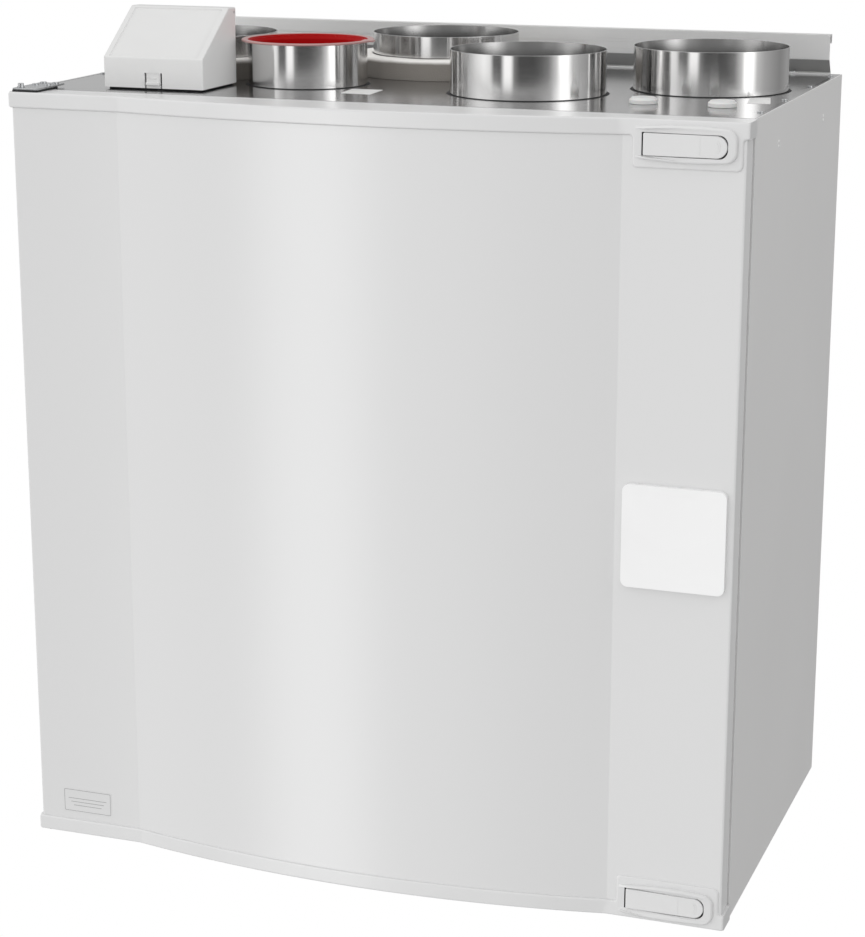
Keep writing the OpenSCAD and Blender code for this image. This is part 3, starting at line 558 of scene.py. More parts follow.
def rr(x0, x1, z0, z1, r, n=8):
    """closed round-cornered rectangle, counter-clockwise, radii for lower right, upper right, upper left, lower left"""
    rs = r if isinstance(r, (list, tuple)) else (r,) * 4
    out_ = []
    for (cx, cz, a0), rad in zip(((x1, z0, -90), (x1, z1, 0), (x0, z1, 90), (x0, z0, 180)), rs):
        sx = -1 if cx == x1 else 1
        sz = 1 if cz == z0 else -1
        for i in range(n + 1):
            t = math.radians(a0 + 90 * i / n)
            out_.append((cx + sx * rad + rad * math.cos(t), cz + sz * rad + rad * math.sin(t)))
    return out_


def loft(rings, bm=None, close_start=True, close_end=True, loop=False):
    """closed rings of equal length joined by quads"""
    bm = bm or bmesh.new()
    vs = [[bm.verts.new(p) for p in ring] for ring in rings]
    n = len(vs[0])
    pairs = list(zip(vs, vs[1:])) + ([(vs[-1], vs[0])] if loop else [])
    for a_, b_ in pairs:
        for i in range(n):
            j = (i + 1) % n
            bm.faces.new((a_[i], a_[j], b_[j], b_[i]))
    if not loop:
        if close_start:
            bm.faces.new(list(reversed(vs[0])))
        if close_end:
            bm.faces.new(vs[-1])
    return bm


def lathe(profile, cx, cg, n=192, closed=True, bm=None, wobble=None):
    """turn an (r, z) profile about an upright axis"""
    bm = bm or bmesh.new()
    cols = []
    for i in range(n):
        t = 2 * math.pi * i / n
        c, s_ = math.cos(t), math.sin(t)
        ring = []
        for r_, z_ in profile:
            dr, dz = wobble(t, r_, z_) if wobble else (0, 0)
            ring.append(bm.verts.new(P(cx + (r_ + dr) * c, cg + (r_ + dr) * s_, z_ + dz)))
        cols.append(ring)
    m = len(profile)
    for i in range(n):
        a_, b_ = cols[i], cols[(i + 1) % n]
        for j in range(m if closed else m - 1):
            k = (j + 1) % m
            bm.faces.new((a_[j], b_[j], b_[k], a_[k]))
    return bm


def block(a, b, bm=None):
    """box from corner a to corner b, (x, g, z)"""
    ring = lambda z: [P(a[0], a[1], z), P(b[0], a[1], z), P(b[0], b[1], z), P(a[0], b[1], z)]
    return loft([ring(a[2]), ring(b[2])], bm)


def rounded_block(a, b, r, name, mat, body, segments=4):
    o = bevel_temp(temp(block(a, b)), r, segments)
    return settle(o, name, mat, body)


def prism_g(pts, g0, g1, bm=None):
    """(x, z) outline pushed from g0 to g1"""
    return loft([[P(x, g0, z) for x, z in pts], [P(x, g1, z) for x, z in pts]], bm)


def prism_x(pts, x0, x1, bm=None):
    """(g, z) outline pushed from x0 to x1"""
    return loft([[P(x0, g, z) for g, z in pts], [P(x1, g, z) for g, z in pts]], bm)


def prism_z(pts, z0, z1, bm=None):
    """(x, g) outline pushed from z0 to z1"""
    return loft([[P(x, g, z0) for x, g in pts], [P(x, g, z1) for x, g in pts]], bm)


def disc(cx, cg, r_, z0, z1, n=64, bm=None):
    return prism_z([(cx + r_ * math.cos(2 * math.pi * i / n), cg + r_ * math.sin(2 * math.pi * i / n)) for i in range(n)], z0, z1, bm)


def rod(axis, c, r_, a, b, n=48, bm=None):
    """round bar along x or g; c is (g, z) for x and (x, z) for g"""
    pts = [(c[0] + r_ * math.cos(2 * math.pi * i / n), c[1] + r_ * math.sin(2 * math.pi * i / n)) for i in range(n)]
    return prism_x(pts, a, b, bm) if axis == "x" else prism_g(pts, a, b, bm)


def dense(pts, step):
    out_ = []
    for i, p in enumerate(pts):
        q = pts[(i + 1) % len(pts)]
        k = max(1, int(math.hypot(q[0] - p[0], q[1] - p[1]) // step))
        out_ += [(p[0] + (q[0] - p[0]) * j / k, p[1] + (q[1] - p[1]) * j / k) for j in range(k)]
    return out_


def round_corners(pts, n=6):
    """(x, z, radius) corners to a smooth closed outline; works for inside and outside corners"""
    out_ = []
    m = len(pts)
    for i in range(m):
        p0, p1, p2 = (Vector(pts[(i + k) % m][:2]) for k in (-1, 0, 1))
        rad = pts[i][2]
        if rad <= 0:
            out_.append(tuple(p1))
            continue
        u, v = (p0 - p1).normalized(), (p2 - p1).normalized()
        half = math.acos(max(-1, min(1, u.dot(v)))) / 2
        d = rad / math.tan(half)
        centre = p1 + (u + v).normalized() * (rad / math.sin(half))
        s_, e_ = p1 + u * d - centre, p1 + v * d - centre
        a0, a1 = math.atan2(s_.y, s_.x), math.atan2(e_.y, e_.x)
        da = (a1 - a0 + math.pi) % (2 * math.pi) - math.pi
        for k in range(n + 1):
            t = a0 + da * k / n
            out_.append((centre.x + rad * math.cos(t), centre.y + rad * math.sin(t)))
    return out_


def inset(pts, d):
    """move a closed outline inward by d, along its corner bisectors (outline counter-clockwise)"""
    out_ = []
    m = len(pts)
    for i in range(m):
        p0, p1, p2 = (Vector(pts[(i + k) % m]) for k in (-1, 0, 1))
        e1, e2 = (p1 - p0), (p2 - p1)
        if e1.length < 1e-9:
            e1 = e2
        if e2.length < 1e-9:
            e2 = e1
        e1.normalize(); e2.normalize()
        n1, n2 = Vector((-e1.y, e1.x)), Vector((-e2.y, e2.x))
        b_ = n1 + n2
        b_.normalize()
        k = max(0.35, b_.dot(n1))
        out_.append((p1.x + b_.x * d / k, p1.y + b_.y * d / k))
    return out_


def lifted_fill(bm, ring_pts, ring_verts):
    """fill a closed (x, z) outline with triangles between its own vertices"""
    n = len(ring_pts)
    vs, es, fs, ov, oe, of_ = delaunay_2d_cdt([Vector(p) for p in ring_pts], [(i, (i + 1) % n) for i in range(n)], [list(range(n))], 1, 1e-7)
    index = {}
    for k, origin in enumerate(ov):
        if origin:
            index[k] = origin[0]
    for f_ in fs:
        ids = [index[i] for i in f_]
        if len(set(ids)) == len(ids):
            try:
                bm.faces.new([ring_verts[i] for i in ids])
            except ValueError:
                pass


def tube(points, r_, name, mat, body, slot, n=14, smooth=6):
    """a cable along a path, its corners rounded by repeated cutting"""
    pts = [Vector(p) for p in points]
    for _ in range(3):
        new = [pts[0]]
        for p, q in zip(pts, pts[1:]):
            new += [p.lerp(q, 0.25), p.lerp(q, 0.75)]
        new.append(pts[-1])
        pts = new
    rings = []
    up = Vector((0.13, 0.31, 0.94)).normalized()
    for i, p in enumerate(pts):
        d = (pts[min(i + 1, len(pts) - 1)] - pts[max(i - 1, 0)]).normalized()
        side = d.cross(up).normalized()
        if i == 0:
            ref = side
        else:
            ref = (ref - d * ref.dot(d)).normalized()
        w_ = d.cross(ref)
        rings.append([P(*(p + (ref * math.cos(2 * math.pi * k / n) + w_ * math.sin(2 * math.pi * k / n)) * r_)) for k in range(n)])
    return finish_mesh(loft(rings), name, mat, body)


# ------------------------------------------------------------------ door skin: folded sheet with a bowed middle

def plan_path(off, half_w, back_g, bend, kink_r=3.0):
    """door plan from the rear left edge round the front to the rear right edge; off is the outward offset"""
    pts = [(-half_w, back_g)]
    cx, cg = -half_w + bend, -DOOR_T - off + bend
    for i in range(9):
        t = math.radians(180 + 90 * i / 8)
        pts.append((cx + bend * math.cos(t), cg + bend * math.sin(t)))
    rad = BOW_R + off
    cgc = BOW_R - DOOR_T - BOW
    end = math.asin(BOW_HALF / rad)
    pts.append((-BOW_HALF - 1.0, -DOOR_T - off))
    pts.append((-BOW_HALF - 0.35, -DOOR_T - off - 0.03))
    for i in range(121):
        t = -end + 2 * end * i / 120
        if abs(rad * math.sin(t)) > BOW_HALF - 0.6:
            continue
        pts.append((rad * math.sin(t), cgc - rad * math.cos(t)))
    pts.append((BOW_HALF + 0.35, -DOOR_T - off - 0.03))
    pts.append((BOW_HALF + 1.0, -DOOR_T - off))
    cx = half_w - bend
    for i in range(9):
        t = math.radians(270 + 90 * i / 8)
        pts.append((cx + bend * math.cos(t), cg + bend * math.sin(t)))
    pts.append((half_w, back_g))
    return pts


def latch_cut(lz, grow):
    top = lz > CAB_H / 2
    z0, z1 = lz - 15.6 - grow, lz + 15.6 + grow
    a_ = temp(block((279.4 - grow, -40, z0), (377.0, -24, z1)))
    b_ = temp(block((324.3 - grow, -38, z0 + 0.001), (377.001, 10, z1 - 0.001)))
    return [a_, b_]


def make_door_skin():
    outer = plan_path(0.0, SKIN_HW, -3.0, 2.2)
    inner = [(x, g) for x, g in plan_path(-1.2, SKIN_HW - 1.2, -3.0, 1.0)]
    z0, z1 = skin_lo.z / MM - 0.22, skin_hi.z / MM
    ring = outer + list(reversed(inner))
    bm = bmesh.new()
    n = len(outer)
    lv = [[bm.verts.new(P(x, g, z)) for x, g in ring] for z in (z0, z1)]
    m = len(ring)
    for i in range(m):
        j = (i + 1) % m
        bm.faces.new((lv[0][i], lv[0][j], lv[1][j], lv[1][i]))
    for k in (0, 1):
        for i in range(n - 1):
            q = (lv[k][i], lv[k][i + 1], lv[k][m - 2 - i], lv[k][m - 1 - i])
            bm.faces.new(q)
    o = temp(bm, "skin")
    for lz in (LEV_U, LEV_L):
        boolean(o, latch_cut(lz, 0.1))
    piece = settle(o, "door_sheet", "door_paint", "door", 25.0)
    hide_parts("door_skin")


# ------------------------------------------------------------------ moulded end caps with latch lobe and bezel

CAP_IN = 2.0


def cap_front(x):
    """g of a cap's outer face"""
    if abs(x) >= BOW_HALF:
        return -DOOR_T - CAP_IN
    rad = BOW_R + CAP_IN
    return (BOW_R - DOOR_T - BOW) - math.sqrt(rad * rad - x * x)


def flip(z, top):
    return z if top else CAB_H - z


def make_cap(top):
    """drawn as the upper cap; the lower one is its mirror image with its own latch height"""
    lz = LEV_U if top else CAB_H - LEV_L
    z_low, z_high = CAB_H - 16.0, CAB_H
    lobe_low = lz - 22.6
    outline = round_corners([
        (-CAP_HW, z_low, 2.6), (272.6, z_low, 3.0), (272.6, lobe_low, 4.5), (378.3, lobe_low, 6.0),
        (378.3, z_low, 3.3), (CAP_HW, z_low, 2.2), (CAP_HW, z_high, 2.6), (-CAP_HW, z_high, 2.6)], 8)
    xs = sorted(set([round(-262 + 524 * i / 96, 4) for i in range(97)] + [-320, -300, -280, 300, 320, 340]))
    dense_pts = []
    m = len(outline)
    for i in range(m):
        p, q = outline[i], outline[(i + 1) % m]
        dense_pts.append(p)
        if abs(p[1] - q[1]) < 0.01 and abs(p[0] - q[0]) > 60:
            inner_xs = [x for x in xs if min(p[0], q[0]) + 4 < x < max(p[0], q[0]) - 4]
            dense_pts += [(x, p[1]) for x in (inner_xs if q[0] > p[0] else reversed(inner_xs))]
    rad = 2.0
    rings, plan = [], []
    K = 6
    for k in range(K + 1):
        t = math.radians(90 * k / K)
        pts = inset(dense_pts, rad * (1 - math.cos(t)))
        rings.append([(x, cap_front(x) + rad * (1 - math.sin(t)), z) for x, z in pts])
        plan = pts
    back = [(x, max(cap_front(x) + 4.5, -28.0) if abs(x) > BOW_HALF - 1 else cap_front(x) + 4.5, z) for x, z in dense_pts]
    bm = bmesh.new()
    levels = [back] + rings
    vs = [[bm.verts.new(P(x, g, flip(z, top))) for x, g, z in ring] for ring in levels]
    n = len(dense_pts)
    for a_, b_ in zip(vs, vs[1:]):
        for i in range(n):
            j = (i + 1) % n
            bm.faces.new((a_[i], a_[j], b_[j], b_[i]))
    lifted_fill(bm, plan, vs[-1])
    lifted_fill(bm, dense_pts, vs[0])
    o = temp(bm, "cap")

    # body of the strip behind its face, with a step at the hinge side
    body_pts = []
    for x, g in plan_path(CAP_IN - 2.2, CAP_HW - 0.03, -0.5, 2.0):
        body_pts.append((x, g))
    body_pts = [(x, (-6.0 if (g > -6.0 and x < -340) else g)) for x, g in body_pts]
    body_pts += [(-340.0, -0.5), (-340.0, -6.0)]
    zz = sorted((flip(z_low + 0.03, top), flip(z_high - 0.03, top)))
    boolean(o, temp(prism_z(body_pts, *zz)), "UNION")
    # latch housing behind the lobe
    za, zb = sorted((flip(lz - 15.5, top), flip(lz + 15.5, top)))
    boolean(o, temp(block((324.5, -29.5, za), (376.5, -3.0, zb))), "UNION")
    boolean(o, temp(block((279.52, -29.3, za + 1.0), (330.0, -24.52, zb - 1.0))), "UNION")
    # bezel: soft ramp at its left, rounded right end
    lzz = flip(lz, top)
    up, dn = (16.2, 14.6) if top else (14.6, 16.2)

    def bez(d_left, d, rr_, g, bulge=0.0):
        corners = rr(275.0 + d_left, 373.4 - d, lzz - dn + d, lzz + up - d, (rr_, rr_, max(0.8, 2.6 - d), max(0.8, 2.6 - d)), 10)
        pts = []
        for i, p in enumerate(corners):
            pts.append(p)
            if i % 11 == 10:
                q = corners[(i + 1) % len(corners)]
                pts += [(p[0] + (q[0] - p[0]) * j / 16, p[1] + (q[1] - p[1]) * j / 16) for j in range(1, 16)]
        out_ = []
        for x, z in pts:
            k_ = max(0.0, min(1.0, (x - 275) / 98.4))
            outer_edge = (z > lzz) == top
            push = (2.4 if outer_edge else 2.9) * math.sin(math.pi * k_) ** 0.9
            if not outer_edge:
                push += 1.4 * k_ - 1.4
            away = max(-1.0, min(1.0, (z - lzz) / 10.0))
            rise = max(0.0, min(1.0, (x - 273.0) / 13.0)) ** 1.3
            gg = g if g > -DOOR_T - CAP_IN else (-DOOR_T - CAP_IN) + (g + DOOR_T + CAP_IN) * rise
            out_.append(P(x, gg, z + bulge * away * push))
        return out_

    base_g = -DOOR_T - CAP_IN
    rings_b = [bez(0, 0, 10.5, base_g + 1.2, 1), bez(0, 0, 10.5, base_g - 0.01, 1)]
    H = 4.0
    for k in range(1, 9):
        t = k / 8
        ang = t * math.pi / 2
        rings_b.append(bez(0.35 * t, 2.4 * (1 - math.cos(ang)), 10.5 - 2.4 * (1 - math.cos(ang)), base_g - H * math.sin(ang) ** 0.9, 1))
    boolean(o, temp(loft(rings_b)), "UNION")
    # lever recess, barrel room and hook room
    h = 10.5 + 0.55
    rec = rr(281.8, 353.3 + h + 0.2, lzz - h, lzz + h, (8.6, 8.6, 0.8, 0.8), 14)
    wide = rr(281.3, 353.3 + h + 0.7, lzz - h - 0.5, lzz + h + 0.5, (9.1, 9.1, 1.2, 1.2), 14)
    cut = loft([[P(x, -27.5, z) for x, z in rec], [P(x, base_g - H + 0.45, z) for x, z in rec],
                [P(x, base_g - H + 0.1, z) for x, z in [((p[0] + q[0]) / 2 + 0.02, (p[1] + q[1]) / 2) for p, q in zip(rec, wide)]],
                [P(x, base_g - H - 0.1, z) for x, z in wide], [P(x, -46, z) for x, z in wide]])
    boolean(o, temp(cut))
    boolean(o, temp(block((281.82, -40, lzz - h + 0.03), (283.4, -25.4, lzz + h - 0.03))))
    boolean(o, temp(block((280.15, -31.4, lzz - h + 0.9), (283.2, -25.6, lzz + h - 0.9))))
    room = [(352.0 + 15.2 * math.cos(2 * math.pi * i / 96), max(-33.1, -26.0 + 15.2 * math.sin(2 * math.pi * i / 96))) for i in range(96)]
    boolean(o, temp(prism_z(room, lzz - h + 0.02, lzz + h - 0.02)))
    boolean(o, temp(block((327, -29.1, lzz - 12.5), (374, 1, lzz + 12.5))))
    name = "door_top_cap" if top else "door_bottom_cap"
    if not top:
        boolean(o, temp(disc(-374.0, -21.0, 7.4, -1, 2.5, 48)))
        sweep = temp(disc(-374.0, -21.0, 29.6, -1, 2.5, 128))
        boolean(sweep, temp(block((-386.0, -22.8, -2), (-334.0, 5, 3))), "INTERSECT")
        boolean(o, sweep)
    piece = settle(o, "upper_end_cap" if top else "lower_end_cap", "cap_plastic", "door", 30.0)
    # painted shade: the small faces inside the slot beside the lever are set to black plastic, though the cap is one
    # moulding
    piece.data.materials.append(M["black_plastic"])
    for f_ in piece.data.polygons:
        c_ = f_.center / MM
        if 279.6 < c_.x < 283.5 and -31.5 < c_.y - Y0 < -25.0 and abs(c_.z - lzz) < h + 0.1 and f_.area < 0.0002:
            f_.material_index = 1
    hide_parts(name)


make_door_skin()
make_cap(True)
make_cap(False)


# ------------------------------------------------------------------ latch levers

def make_lever(top):
    lz = LEV_U if top else LEV_L
    h = 10.5
    f = -DOOR_T - 5.5
    rings = []
    outer = lambda d: rr(283.6 + d, 353.3 + h - d, lz - h + d, lz + h - d, (h - d - 0.02, h - d - 0.02, 1.2, 1.2), 16)
    rings.append([P(x, -DOOR_T - 0.5, z) for x, z in outer(0.5)])
    rings.append([P(x, -DOOR_T - 0.9, z) for x, z in outer(0.0)])
    for k in range(6):
        t = math.radians(90 * k / 5)
        rings.append([P(x, f + 1.0 * (1 - math.sin(t)), z) for x, z in outer(1.0 * (1 - math.cos(t)))])
    o = temp(loft(rings))
    # the short end past the pivot is rounded about it
    keep = disc(352.0, -26.0, 14.4, lz - 20, lz + 20, 128)
    far = temp(block((352.0, -60, lz - 30), (390, 10, lz + 30)))
    boolean(far, temp(keep))
    boolean(o, far)
    # shallow finger groove lines at the short end and a joint line across the lever
    for r_, w_ in ((5.6, 0.55), (7.6, 0.55)):
        arc_o = [(349.6 + (r_ + w_) * math.cos(t), lz + (r_ + w_) * math.sin(t)) for t in [math.radians(-48 + 96 * i / 16) for i in range(17)]]
        arc_i = [(349.6 + r_ * math.cos(t), lz + r_ * math.sin(t)) for t in [math.radians(48 - 96 * i / 16) for i in range(17)]]
        boolean(o, temp(prism_g(arc_o + arc_i, f - 1, f + 0.28)))
    boolean(o, temp(block((338.0, f - 1, lz - h - 1), (338.35, f + 0.22, lz + h + 1))))
    # barrel, shaft and hook
    boolean(o, temp(disc(352.0, -26.0, 5.5, lz - h + 0.1, lz + h - 0.1, 48)), "UNION")
    boolean(o, temp(disc(352.0, -26.0, 2.5, lz - 15.2, lz + 15.2, 40)), "UNION")
    boolean(o, temp(block((349, -24, lz - 5), (355, -4, lz + 5))), "UNION")
    boolean(o, temp(block((354, -7, lz - 4.99), (361, -4.01, lz + 4.99))), "UNION")
    name = "upper_latch_lever" if top else "lower_latch_lever"
    piece = settle(o, ("upper" if top else "lower") + "_latch_handle", "lever_plastic", "upper_latch" if top else "lower_latch", 28.0)
    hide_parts(name)


make_lever(True)
make_lever(False)

# ------------------------------------------------------------------ terminal box cover

TB_LO, TB_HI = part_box("terminal_box_cover")
TBX0, TBX1 = TB_LO.x / MM, TB_HI.x / MM
TBG1 = TB_HI.y / MM - Y0
TBG0 = 31.0
TBZ0, TBZ1 = TB_LO.z / MM, TB_HI.z / MM
HG, HZ = 111.5, CAB_H + 74.5


def make_terminal_cover():
    prof = [(TBG0, TBZ0 - 8), (TBG0, CAB_H + 33), (TBG0 + 67, TBZ1), (TBG1, TBZ1 - 0.5), (TBG1, TBZ0 - 8)]
    o = bevel_temp(temp(prism_x(prof, TBX0, TBX1)), 1.7, 5, 20)
    # recessed slope between two side rims
    ux, uz = 67.0, TBZ1 - CAB_H - 33
    ln = math.hypot(ux, uz)
    ux, uz = ux / ln, uz / ln
    nx, nz = -uz, ux

    def sl(t, d):
        return (TBG0 + ux * t + nx * d, CAB_H + 33 + uz * t + nz * d)

    cut = bevel_temp(temp(prism_x([sl(1.0, -1.3), sl(ln - 3.0, -1.3), sl(ln - 3.0, 6), sl(1.0, 6)], TBX0 + 6.0, TBX1 - 6.0)), 0.9, 3, 30)
    boolean(o, cut)
    # hollow inside, open below and at the rear
    w = 2.2
    inner = [(TBG0 + w, TBZ0 - 9), (TBG0 + w, CAB_H + 33 - w * 0.35), (TBG0 + 67 + w * 0.9, TBZ1 - w - 1.2), (TBG1 - w, TBZ1 - w - 0.6), (TBG1 - w, TBZ0 - 9)]
    boolean(o, temp(prism_x(inner, TBX0 + w, TBX1 - w)))
    boolean(o, temp(block((TBX0 - 1, TBG0 - 1, TBZ0 - 12), (TBX1 + 1, TBG1 + 1, TBZ0))))
    boolean(o, temp(block((TBX0 + w + 0.01, TBG1 - 3, TBZ0 - 1), (TBX1 - w - 0.01, TBG1 + 1, HZ + 0.2))))
    boolean(o, temp(block((TBX0 - 1, TBG1 - 2.4, TBZ0 - 1), (TBX1 + 1, TBG1 + 1, CAB_H + 70))))
    for x0, x1 in ((TBX0 - 1, TBX0 + 3), (TBX1 - 3, TBX1 + 1)):
        boolean(o, temp(rod("x", (HG, HZ), 1.55, x0, x1, 32)))
    # clip: two slots beside a tongue, a pocket above it and its lip
    for x0 in (-259.8, -242.2):
        boolean(o, temp(block((x0, TBG0 - 1, TBZ0 - 1), (x0 + 2.0, TBG0 + 5, CAB_H + 17.5))))
    boolean(o, temp(block((-257.7, TBG0 - 1, CAB_H + 8.8), (-242.3, TBG0 + 0.8, CAB_H + 17.2))))
    piece = settle(o, "terminal_cover", "white_plastic", "terminal_cover", 28.0)
    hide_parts("terminal_box_cover")
    rounded_block((-257.4, TBG0 - 3.2, CAB_H + 5.2), (-242.6, TBG0 + 0.6, CAB_H + 8.4), 0.8, "terminal_cover_lip", "white_plastic", "terminal_cover")
    rounded_block((-254.4, TBG0 - 0.1, CAB_H + 11.4), (-246.6, TBG0 + 1.2, CAB_H + 12.6), 0.3, "terminal_cover_rib", "white_plastic", "terminal_cover")


make_terminal_cover()

# ------------------------------------------------------------------ plug, foam rings, blanking caps

PLUG_LO, PLUG_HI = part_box("cooker_hood_plug")
HOOD = ((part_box("cooker_hood_spigot")[0].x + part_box("cooker_hood_spigot")[1].x) / 2 / MM,
        (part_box("cooker_hood_spigot")[0].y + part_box("cooker_hood_spigot")[1].y) / 2 / MM - Y0)
HOOD_R = 62.2
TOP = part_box("cooker_hood_spigot")[1].z / MM


def arc(cx, cz, r_, a0, a1, n=6):
    return [(cx + r_ * math.cos(math.radians(a0 + (a1 - a0) * i / n)), cz + r_ * math.sin(math.radians(a0 + (a1 - a0) * i / n))) for i in range(n + 1)]


def make_plug():
    z = TOP
    ri = HOOD_R - 3.2
    prof = [(0.0, z - 22), (HOOD_R - 3.0, z - 22)]
    prof += arc(HOOD_R - 1.05 - 2.0, z - 20, 2.0, -90, 0, 5)
    prof += [(HOOD_R - 1.05, z + 0.1), (68.0, z + 0.1)]
    prof += arc(68.0, z + 1.2, 1.1, -90, 90, 8)
    prof += [(HOOD_R + 2.2, z + 2.3)]
    prof += arc(HOOD_R + 1.4, z + 1.1, 1.2, 90, 150, 4)
    prof += [(ri + 0.4, z - 2.6), (ri, z - 4.0)]
    prof += [(ri - 0.2, z - 17.5)]
    prof += arc(ri - 2.7, z - 17.5, 2.5, 0, -90, 5)
    prof += [(8.0, z - 20), (0.0, z - 20)]
    bm = bmesh.new()
    n = 160
    cols = []
    for i in range(n):
        t = 2 * math.pi * i / n
        cols.append([bm.verts.new(P(HOOD[0] + r_ * math.cos(t), HOOD[1] + r_ * math.sin(t), zz)) for r_, zz in prof[1:-1]])
    c0 = bm.verts.new(P(*HOOD, prof[0][1]))
    c1 = bm.verts.new(P(*HOOD, prof[-1][1]))
    m = len(prof) - 2
    for i in range(n):
        a_, b_ = cols[i], cols[(i + 1) % n]
        for j in range(m - 1):
            bm.faces.new((a_[j], b_[j], b_[j + 1], a_[j + 1]))
        bm.faces.new((c0, b_[0], a_[0]))
        bm.faces.new((c1, a_[-1], b_[-1]))
    o = temp(bm)
    t = math.radians(4)
    tab = rr(-6, 6, 60, 72.6, (0.5, 2.6, 2.6, 0.5), 6)
    pts = [(HOOD[0] + v * math.cos(t) - u * math.sin(t), HOOD[1] + v * math.sin(t) + u * math.cos(t)) for u, v in tab]
    tb_ = bevel_temp(temp(prism_z(pts, z + 0.25, z + 2.15)), 0.6, 3)
    # the tab grows out of the rim: cut away what would fill the cup
    boolean(tb_, temp(disc(*HOOD, 66.5, z - 5, z + 8, 96)))
    boolean(o, tb_, "UNION")
    piece = settle(o, "hood_plug_cup", "red_plastic", "hood_plug", 40.0)
    piece.data.materials.append(M["plug_rim"])
    for f_ in piece.data.polygons:
        c_ = f_.center / MM
        if math.hypot(c_.x - HOOD[0], c_.y - Y0 - HOOD[1]) > HOOD_R - 0.6 and c_.z > z - 1.5:
            f_.material_index = 1
    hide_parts("cooker_hood_plug")


make_plug()


def centre(node):
    a_, b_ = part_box(node)
    return (a_.x + b_.x) / 2 / MM, (a_.y + b_.y) / 2 / MM - Y0


def ring_at(bm, cx, cg, name, mat, body, sharp=32.0):
    """a turned piece whose own origin is on its axis"""
    o = finish_mesh(bm, name, mat, None, sharp, False)
    origin = P(cx, cg, 0)
    o.data.transform(Matrix.Translation(-origin))
    o.location = origin
    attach(o, body)
    return o


def make_spigots():
    for node, name, foot in (("outdoor_air_spigot", "outdoor_air_collar", 22.2), ("exhaust_air_spigot", "exhaust_air_collar", 22.2),
                             ("supply_air_spigot", "supply_air_collar", 0.6), ("extract_air_spigot", "extract_air_collar", 0.6),
                             ("cooker_hood_spigot", "cooker_hood_collar", 0.6)):
        cx, cg = centre(node)
        r_ = HOOD_R if node.startswith("cooker") else 79.6
        z0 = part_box(node)[0].z / MM
        zs = CAB_H + foot
        pl = CAB_H - 1.0
        prof = [(r_ - 2.5, z0), (r_ - 1.5, z0), (r_ - 1.5, pl - 1.6), (r_ + 3.9, pl - 1.6), (r_ + 3.9, pl - 0.1), (r_ - 1.5, pl - 0.1),
                (r_ - 1.5, zs), (r_ - 0.25, zs), (r_, zs + 0.25), (r_, TOP - 0.4)]
        prof += arc(r_ - 0.3, TOP - 0.3, 0.3, 0, 90, 4) + arc(r_ - 0.7, TOP - 0.3, 0.3, 90, 180, 4)
        prof += [(r_ - 1.0, zs + 1.4), (r_ - 1.3, zs + 1.0), (r_ - 2.5, zs + 0.7)]
        collar = ring_at(lathe(prof, cx, cg, 256, True), cx, cg, name, "spigot_steel", "cabinet")
        # painted shade: the inner wall of each collar takes the darker copy of the steel
        collar.data.materials.append(M["spigot_inside_shaded"])
        for f_ in collar.data.polygons:
            if math.hypot(f_.center.x, f_.center.y) / MM < r_ - 0.93:
                f_.material_index = 1
        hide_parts(node)


make_spigots()


def make_foam_rings():
    for i, node in enumerate(("outdoor_air_spigot", "exhaust_air_spigot")):
        cx, cg = centre(node)
        rnd = random.Random(11 + i)
        ph = [rnd.uniform(0, 6.28) for _ in range(6)]

        def wob(t, r_, z_, ph=ph):
            k = 0.22 * math.sin(3 * t + ph[0]) + 0.16 * math.sin(7 * t + ph[1]) + 0.10 * math.sin(17 * t + ph[2])
            top_k = max(0.0, min(1.0, (z_ - CAB_H) / 22.0))
            return (k * (1 if r_ > 90 else 0), top_k * (0.25 * math.sin(2 * t + ph[3]) + 0.15 * math.sin(9 * t + ph[4]) - 0.35))

        prof = [(82.7, CAB_H + 0.05), (99.2, CAB_H + 0.05), (99.7, CAB_H + 0.7)]
        prof += [(99.75, CAB_H + 6), (99.75, CAB_H + 12), (99.7, CAB_H + 17.5)]
        prof += arc(95.7, CAB_H + 18, 4.0, 8, 90, 8)
        prof += [(90.0, CAB_H + 22.0), (82.5, CAB_H + 22.0)]
        prof += arc(81.8, CAB_H + 20.4, 1.6, 90, 170, 4)
        prof += [(80.1, CAB_H + 12), (80.1, CAB_H + 3.2), (82.6, CAB_H + 2.2)]
        bm = lathe(prof, cx, cg, 200, True, None, wob)
        piece = finish_mesh(bm, ("outdoor" if i == 0 else "exhaust") + "_foam_ring", "foam_ring", "cabinet", 50.0)
        if i == 0:
            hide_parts("spigot_insulation")


make_foam_rings()


def make_blanking_caps():
    for i, (x, g) in enumerate(((250.8, 89.4), (330.2, 86.6))):
        z = CAB_H
        prof = [(0, z - 3), (10, z - 3), (10, z + 0.05), (13.4, z + 0.05)] + arc(13.4, z + 0.65, 0.6, -90, 0, 3) + \
               [(14.0, z + 3.4)] + arc(13.1, z + 3.6, 0.9, 0, 55, 4) + [(12.3, z + 5.2)] + arc(11.3, z + 5.4, 0.9, 40, 90, 4) + [(5, z + 6.3), (0, z + 6.25)]
        bm = bmesh.new()
        n = 96
        cols = [[bm.verts.new(P(x + r_ * math.cos(2 * math.pi * k / n), g + r_ * math.sin(2 * math.pi * k / n), zz)) for r_, zz in prof[1:-1]] for k in range(n)]
        c0, c1 = bm.verts.new(P(x, g, prof[0][1])), bm.verts.new(P(x, g, prof[-1][1]))
        for k in range(n):
            a_, b_ = cols[k], cols[(k + 1) % n]
            for j in range(len(a_) - 1):
                bm.faces.new((a_[j], b_[j], b_[j + 1], a_[j + 1]))
            bm.faces.new((c0, b_[0], a_[0]))
            bm.faces.new((c1, a_[-1], b_[-1]))
        piece = finish_mesh(bm, "blanking_cap_" + str(i + 1), "plug_white", "cabinet", 40.0)
        if i == 0:
            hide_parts("blanking_plugs")


make_blanking_caps()

# ------------------------------------------------------------------ stickers, rating label, dark sheet under the hinge


